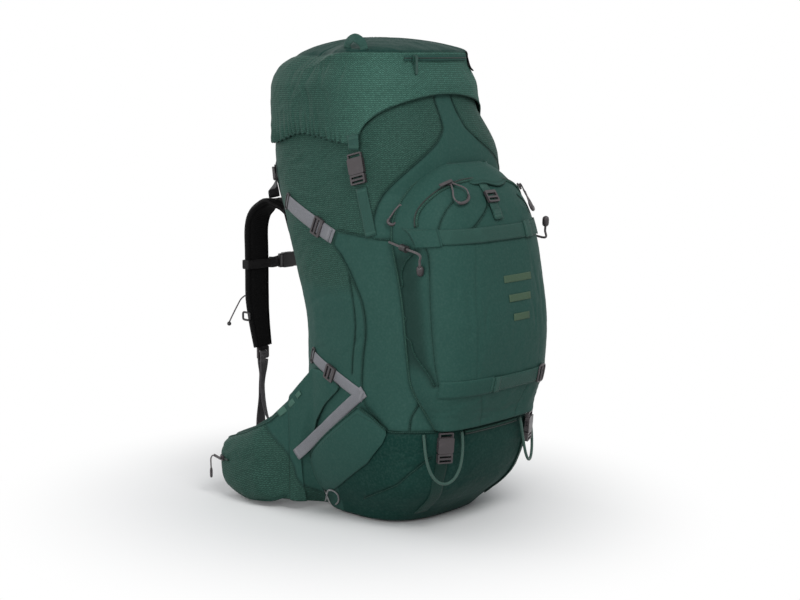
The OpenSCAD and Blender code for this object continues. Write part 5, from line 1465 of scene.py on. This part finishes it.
# The wing that carries the fin, on the packbag's side
level = np.linspace(8, 263, 75)[:, None]
rear_edge = np.minimum(99.7, WING_Y + WING_RUN * (WING_TOP - level) / WING_SLOPE)
front_edge = np.minimum(line_at(WING_FRONT, level), rear_edge - 1)
wing_y = rear_edge + (front_edge - rear_edge) * np.linspace(0, 1, 45)
wing_z = level + 13 * ease((wing_y - 66) / 32) * ease((34 - level) / 26)
on_bag = side_x(wing_y, wing_z)
full = np.where(wing_y >= WING_Y, wing_x(np.maximum(wing_y, WING_Y), wing_z), on_bag + SEAT + 0.4)
x = mix(on_bag + 4.0, full + WING_T, ease((wing_y - front_edge) / 30))
x = x - 0.5 * np.abs(waves(wing_y, wing_z, 73, 50))
wing_out, wing_in = (points(-q, wing_y, wing_z) for q in (x, np.minimum(full, x - 0.8)))
wing_edge = points(-x[:, -1], wing_y[:, -1], level[:, 0])[2:-2]

end_turn = math.radians(FIN_1)
tip = fin_pt(1.0, FIN_R, BELT_Z) + np.array([math.sin(end_turn), -math.cos(end_turn), 0])
BELT_STOP = {"left": -box_mm("hip_buckle_socket")[0][0] + 0.5,
             "right": box_mm("hip_buckle_tongue")[1][0] + 0.5}
f = np.linspace(0, 1, 36)
belt_up = unit(points(-1 + f, 1.0, 0.0))

for side, flat in SIDES:
    body = f"hip_{side}"
    fin = loft(f"hip_fin_pad_{side}", flip(side, rings), MESH, body=body, node=f"hip_fin_{side}")
    slab(f"hip_pocket_cloth_{side}", flip(side, hip_front), flip(side, hip_back), GREEN,
         uv=(turned(side, hip_s), turned(side, hip_z)), zone=turned(side, hip_zone),
         seam_and_shade=turned(side, hip_seam), body=body, node=f"hip_pocket_{side}")
    tube(f"hip_zip_coil_{side}", hip_coil * flat, 3.2, ZIP, sides=8, body=body)
    for key, v in (("top", 0.86), ("low", -0.86)):
        line = hip_face(np.linspace(0.01, 0.94, 60), v, 0.2)
        tube(f"hip_piping_{key}_{side}", line * flat, 2.6, DEEP, sides=8, body=body)
    cloth(f"hip_fin_cover_{side}", flip(side, fin_cover), 0.7, DEEP, zone=1.0, body=body)
    piece = cloth(f"hip_flex_{side}", flip(side, flex), 0.4, GREEN, body=None, slot="dark_ripstop",
                  uv=(turned(side, flex[..., 1]), turned(side, flex[..., 2])),
                  **seam_marks(side, flex[..., 1], flex[..., 2]))
    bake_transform(piece)
    slab(f"hip_wing_cloth_{side}", flip(side, wing_out), flip(side, wing_in), GREEN,
         uv=(turned(side, wing_y), wing_z), slot="dark_ripstop", node=f"hip_wing_{side}",
         **seam_marks(side, wing_y, wing_z))
    for i, (y, z, long) in enumerate(((117, 176, 18), (92, 194, 17), (74, 212, 14))):
        dash = [(y - 0.73 * q, z + 0.68 * q) for q in np.linspace(-long / 2, long / 2, 6)]
        piece = band_on(f"wing_dash_{i + 1}_{side}", on_side(belt_face, flat), dash, 11 - 1.5 * i, 0.4, LIGHT,
                        1.2, 1.0, body=None)
        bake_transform(piece)
    tube(f"hip_wing_edge_{side}", resample(wing_edge * flat, 4.0), 2.2, DEEP, sides=8)
    run = points(mix(tip[0], -BELT_STOP[side], f), mix(tip[1], 302, np.sin(f * np.pi / 2)), BELT_Z)
    band(f"hip_belt_webbing_{side}", (run - belt_up * 1.2) * flat, belt_up * flat, BELT_TAPE, 2.4, BLACK_WEB,
         body=body, node=f"hip_webbing_{side}")

# Kept fittings, with softened edges

for mat, soften, nodes in (
        (GREY_PART, 0.0006, ("ladderlocks", "lid_buckle_sockets", "lid_buckle_tongues", "pad_buckle_sockets",
                             "pad_tongue_left", "pad_tongue_right", "strap_ladderlocks", "hip_buckle_socket",
                             "hip_buckle_tongue", "front_zip_slider_left", "front_zip_slider_right",
                             "hip_slider_left", "hip_slider_right")),
        (BLACK_PART, 0.0006, ("sternum_socket", "sternum_tongue", "tool_lock_left", "tool_lock_right",
                              "collar_cord_lock")),
        (GREEN_PART, 0.0006, ("lid_zip_slider",)),
        (BLACK_PART, 0.0003, ("framesheet",)),
        (ALLOY, 0.0003, ("perimeter_frame", "centre_stay"))):
    for node in nodes:
        obj = bpy.data.objects[node]
        obj.data.materials.clear()
        obj.data.materials.append(mat)
        edge = obj.modifiers.new("soft edges", "BEVEL")
        edge.width = soften
        edge.segments = 2
        edge.limit_method = "ANGLE"
        edge.angle_limit = math.radians(40)

# Floor and surroundings

FLOOR_HALF, FLOOR_Z = 14, -0.0005
corners = [(x * FLOOR_HALF, y * FLOOR_HALF, FLOOR_Z) for x, y in ((-1, -1), (1, -1), (1, 1), (-1, 1))]
mesh = bpy.data.meshes.new("studio_floor")
mesh.from_pydata(corners, [], [(0, 1, 2, 3)])
ground = bpy.data.objects.new("studio_floor", mesh)
scene.collection.objects.link(ground)


def seen_straight(nodes, links):
    """1 for rays from the camera, and for those that a shiny or clear surface sends on."""
    path = nodes.new("ShaderNodeLightPath")
    value = path.outputs["Is Camera Ray"]
    for name in ("Is Glossy Ray", "Is Transmission Ray"):
        either = nodes.new("ShaderNodeMath")
        either.operation = "MAXIMUM"
        links.new(value, either.inputs[0])
        links.new(path.outputs[name], either.inputs[1])
        value = either.outputs[0]
    return value


def grey(level):
    return (level, level, level, 1)


# The floor is pale round the pack's shadow, and plain white away from it
floor = Shade("studio_floor", 0.9, Specular_IOR_Level=0.05)
shown = seen_straight(floor.tree.nodes, floor.tree.links)
floor.finish(floor.blend(shown, grey(0.6), floor.blend(floor.noise(0.6, 2.0), grey(0.92), grey(0.95))))
spot = floor.new("Mapping", vector_type="TEXTURE")
floor.put(spot.inputs["Location"], (-0.05, 0.07, 0.0))
floor.put(spot.inputs["Scale"], (0.34, 0.36, 1.0))
floor.put(spot.inputs[0], floor.new("TexCoord").outputs["Object"])
reach = floor.new("VectorMath", operation="LENGTH")
floor.put(reach.inputs[0], spot.outputs[0])
away = floor.ramp(reach.outputs["Value"], 0.55, 1.9)
mixed = floor.new("MixShader")
floor.put(mixed.inputs[0], floor.times(away, shown))
floor.put(mixed.inputs[1], floor.bsdf.outputs[0])
floor.put(mixed.inputs[2], floor.new("Emission").outputs[0])
floor.put(floor.tree.nodes["Material Output"].inputs["Surface"], mixed.outputs[0])
mesh.materials.append(floor.mat)

world = bpy.data.worlds.new("studio")
scene.world = world
world.use_nodes = True
nodes, links = world.node_tree.nodes, world.node_tree.links
nodes["Background"].inputs["Color"].default_value = (0.38, 0.39, 0.4, 1)
white = nodes.new("ShaderNodeBackground")
white.inputs["Color"].default_value = grey(1)
choose = nodes.new("ShaderNodeMixShader")
for i, socket in enumerate((seen_straight(nodes, links), nodes["Background"].outputs[0], white.outputs[0])):
    links.new(socket, choose.inputs[i])
links.new(choose.outputs[0], nodes["World Output"].inputs["Surface"])
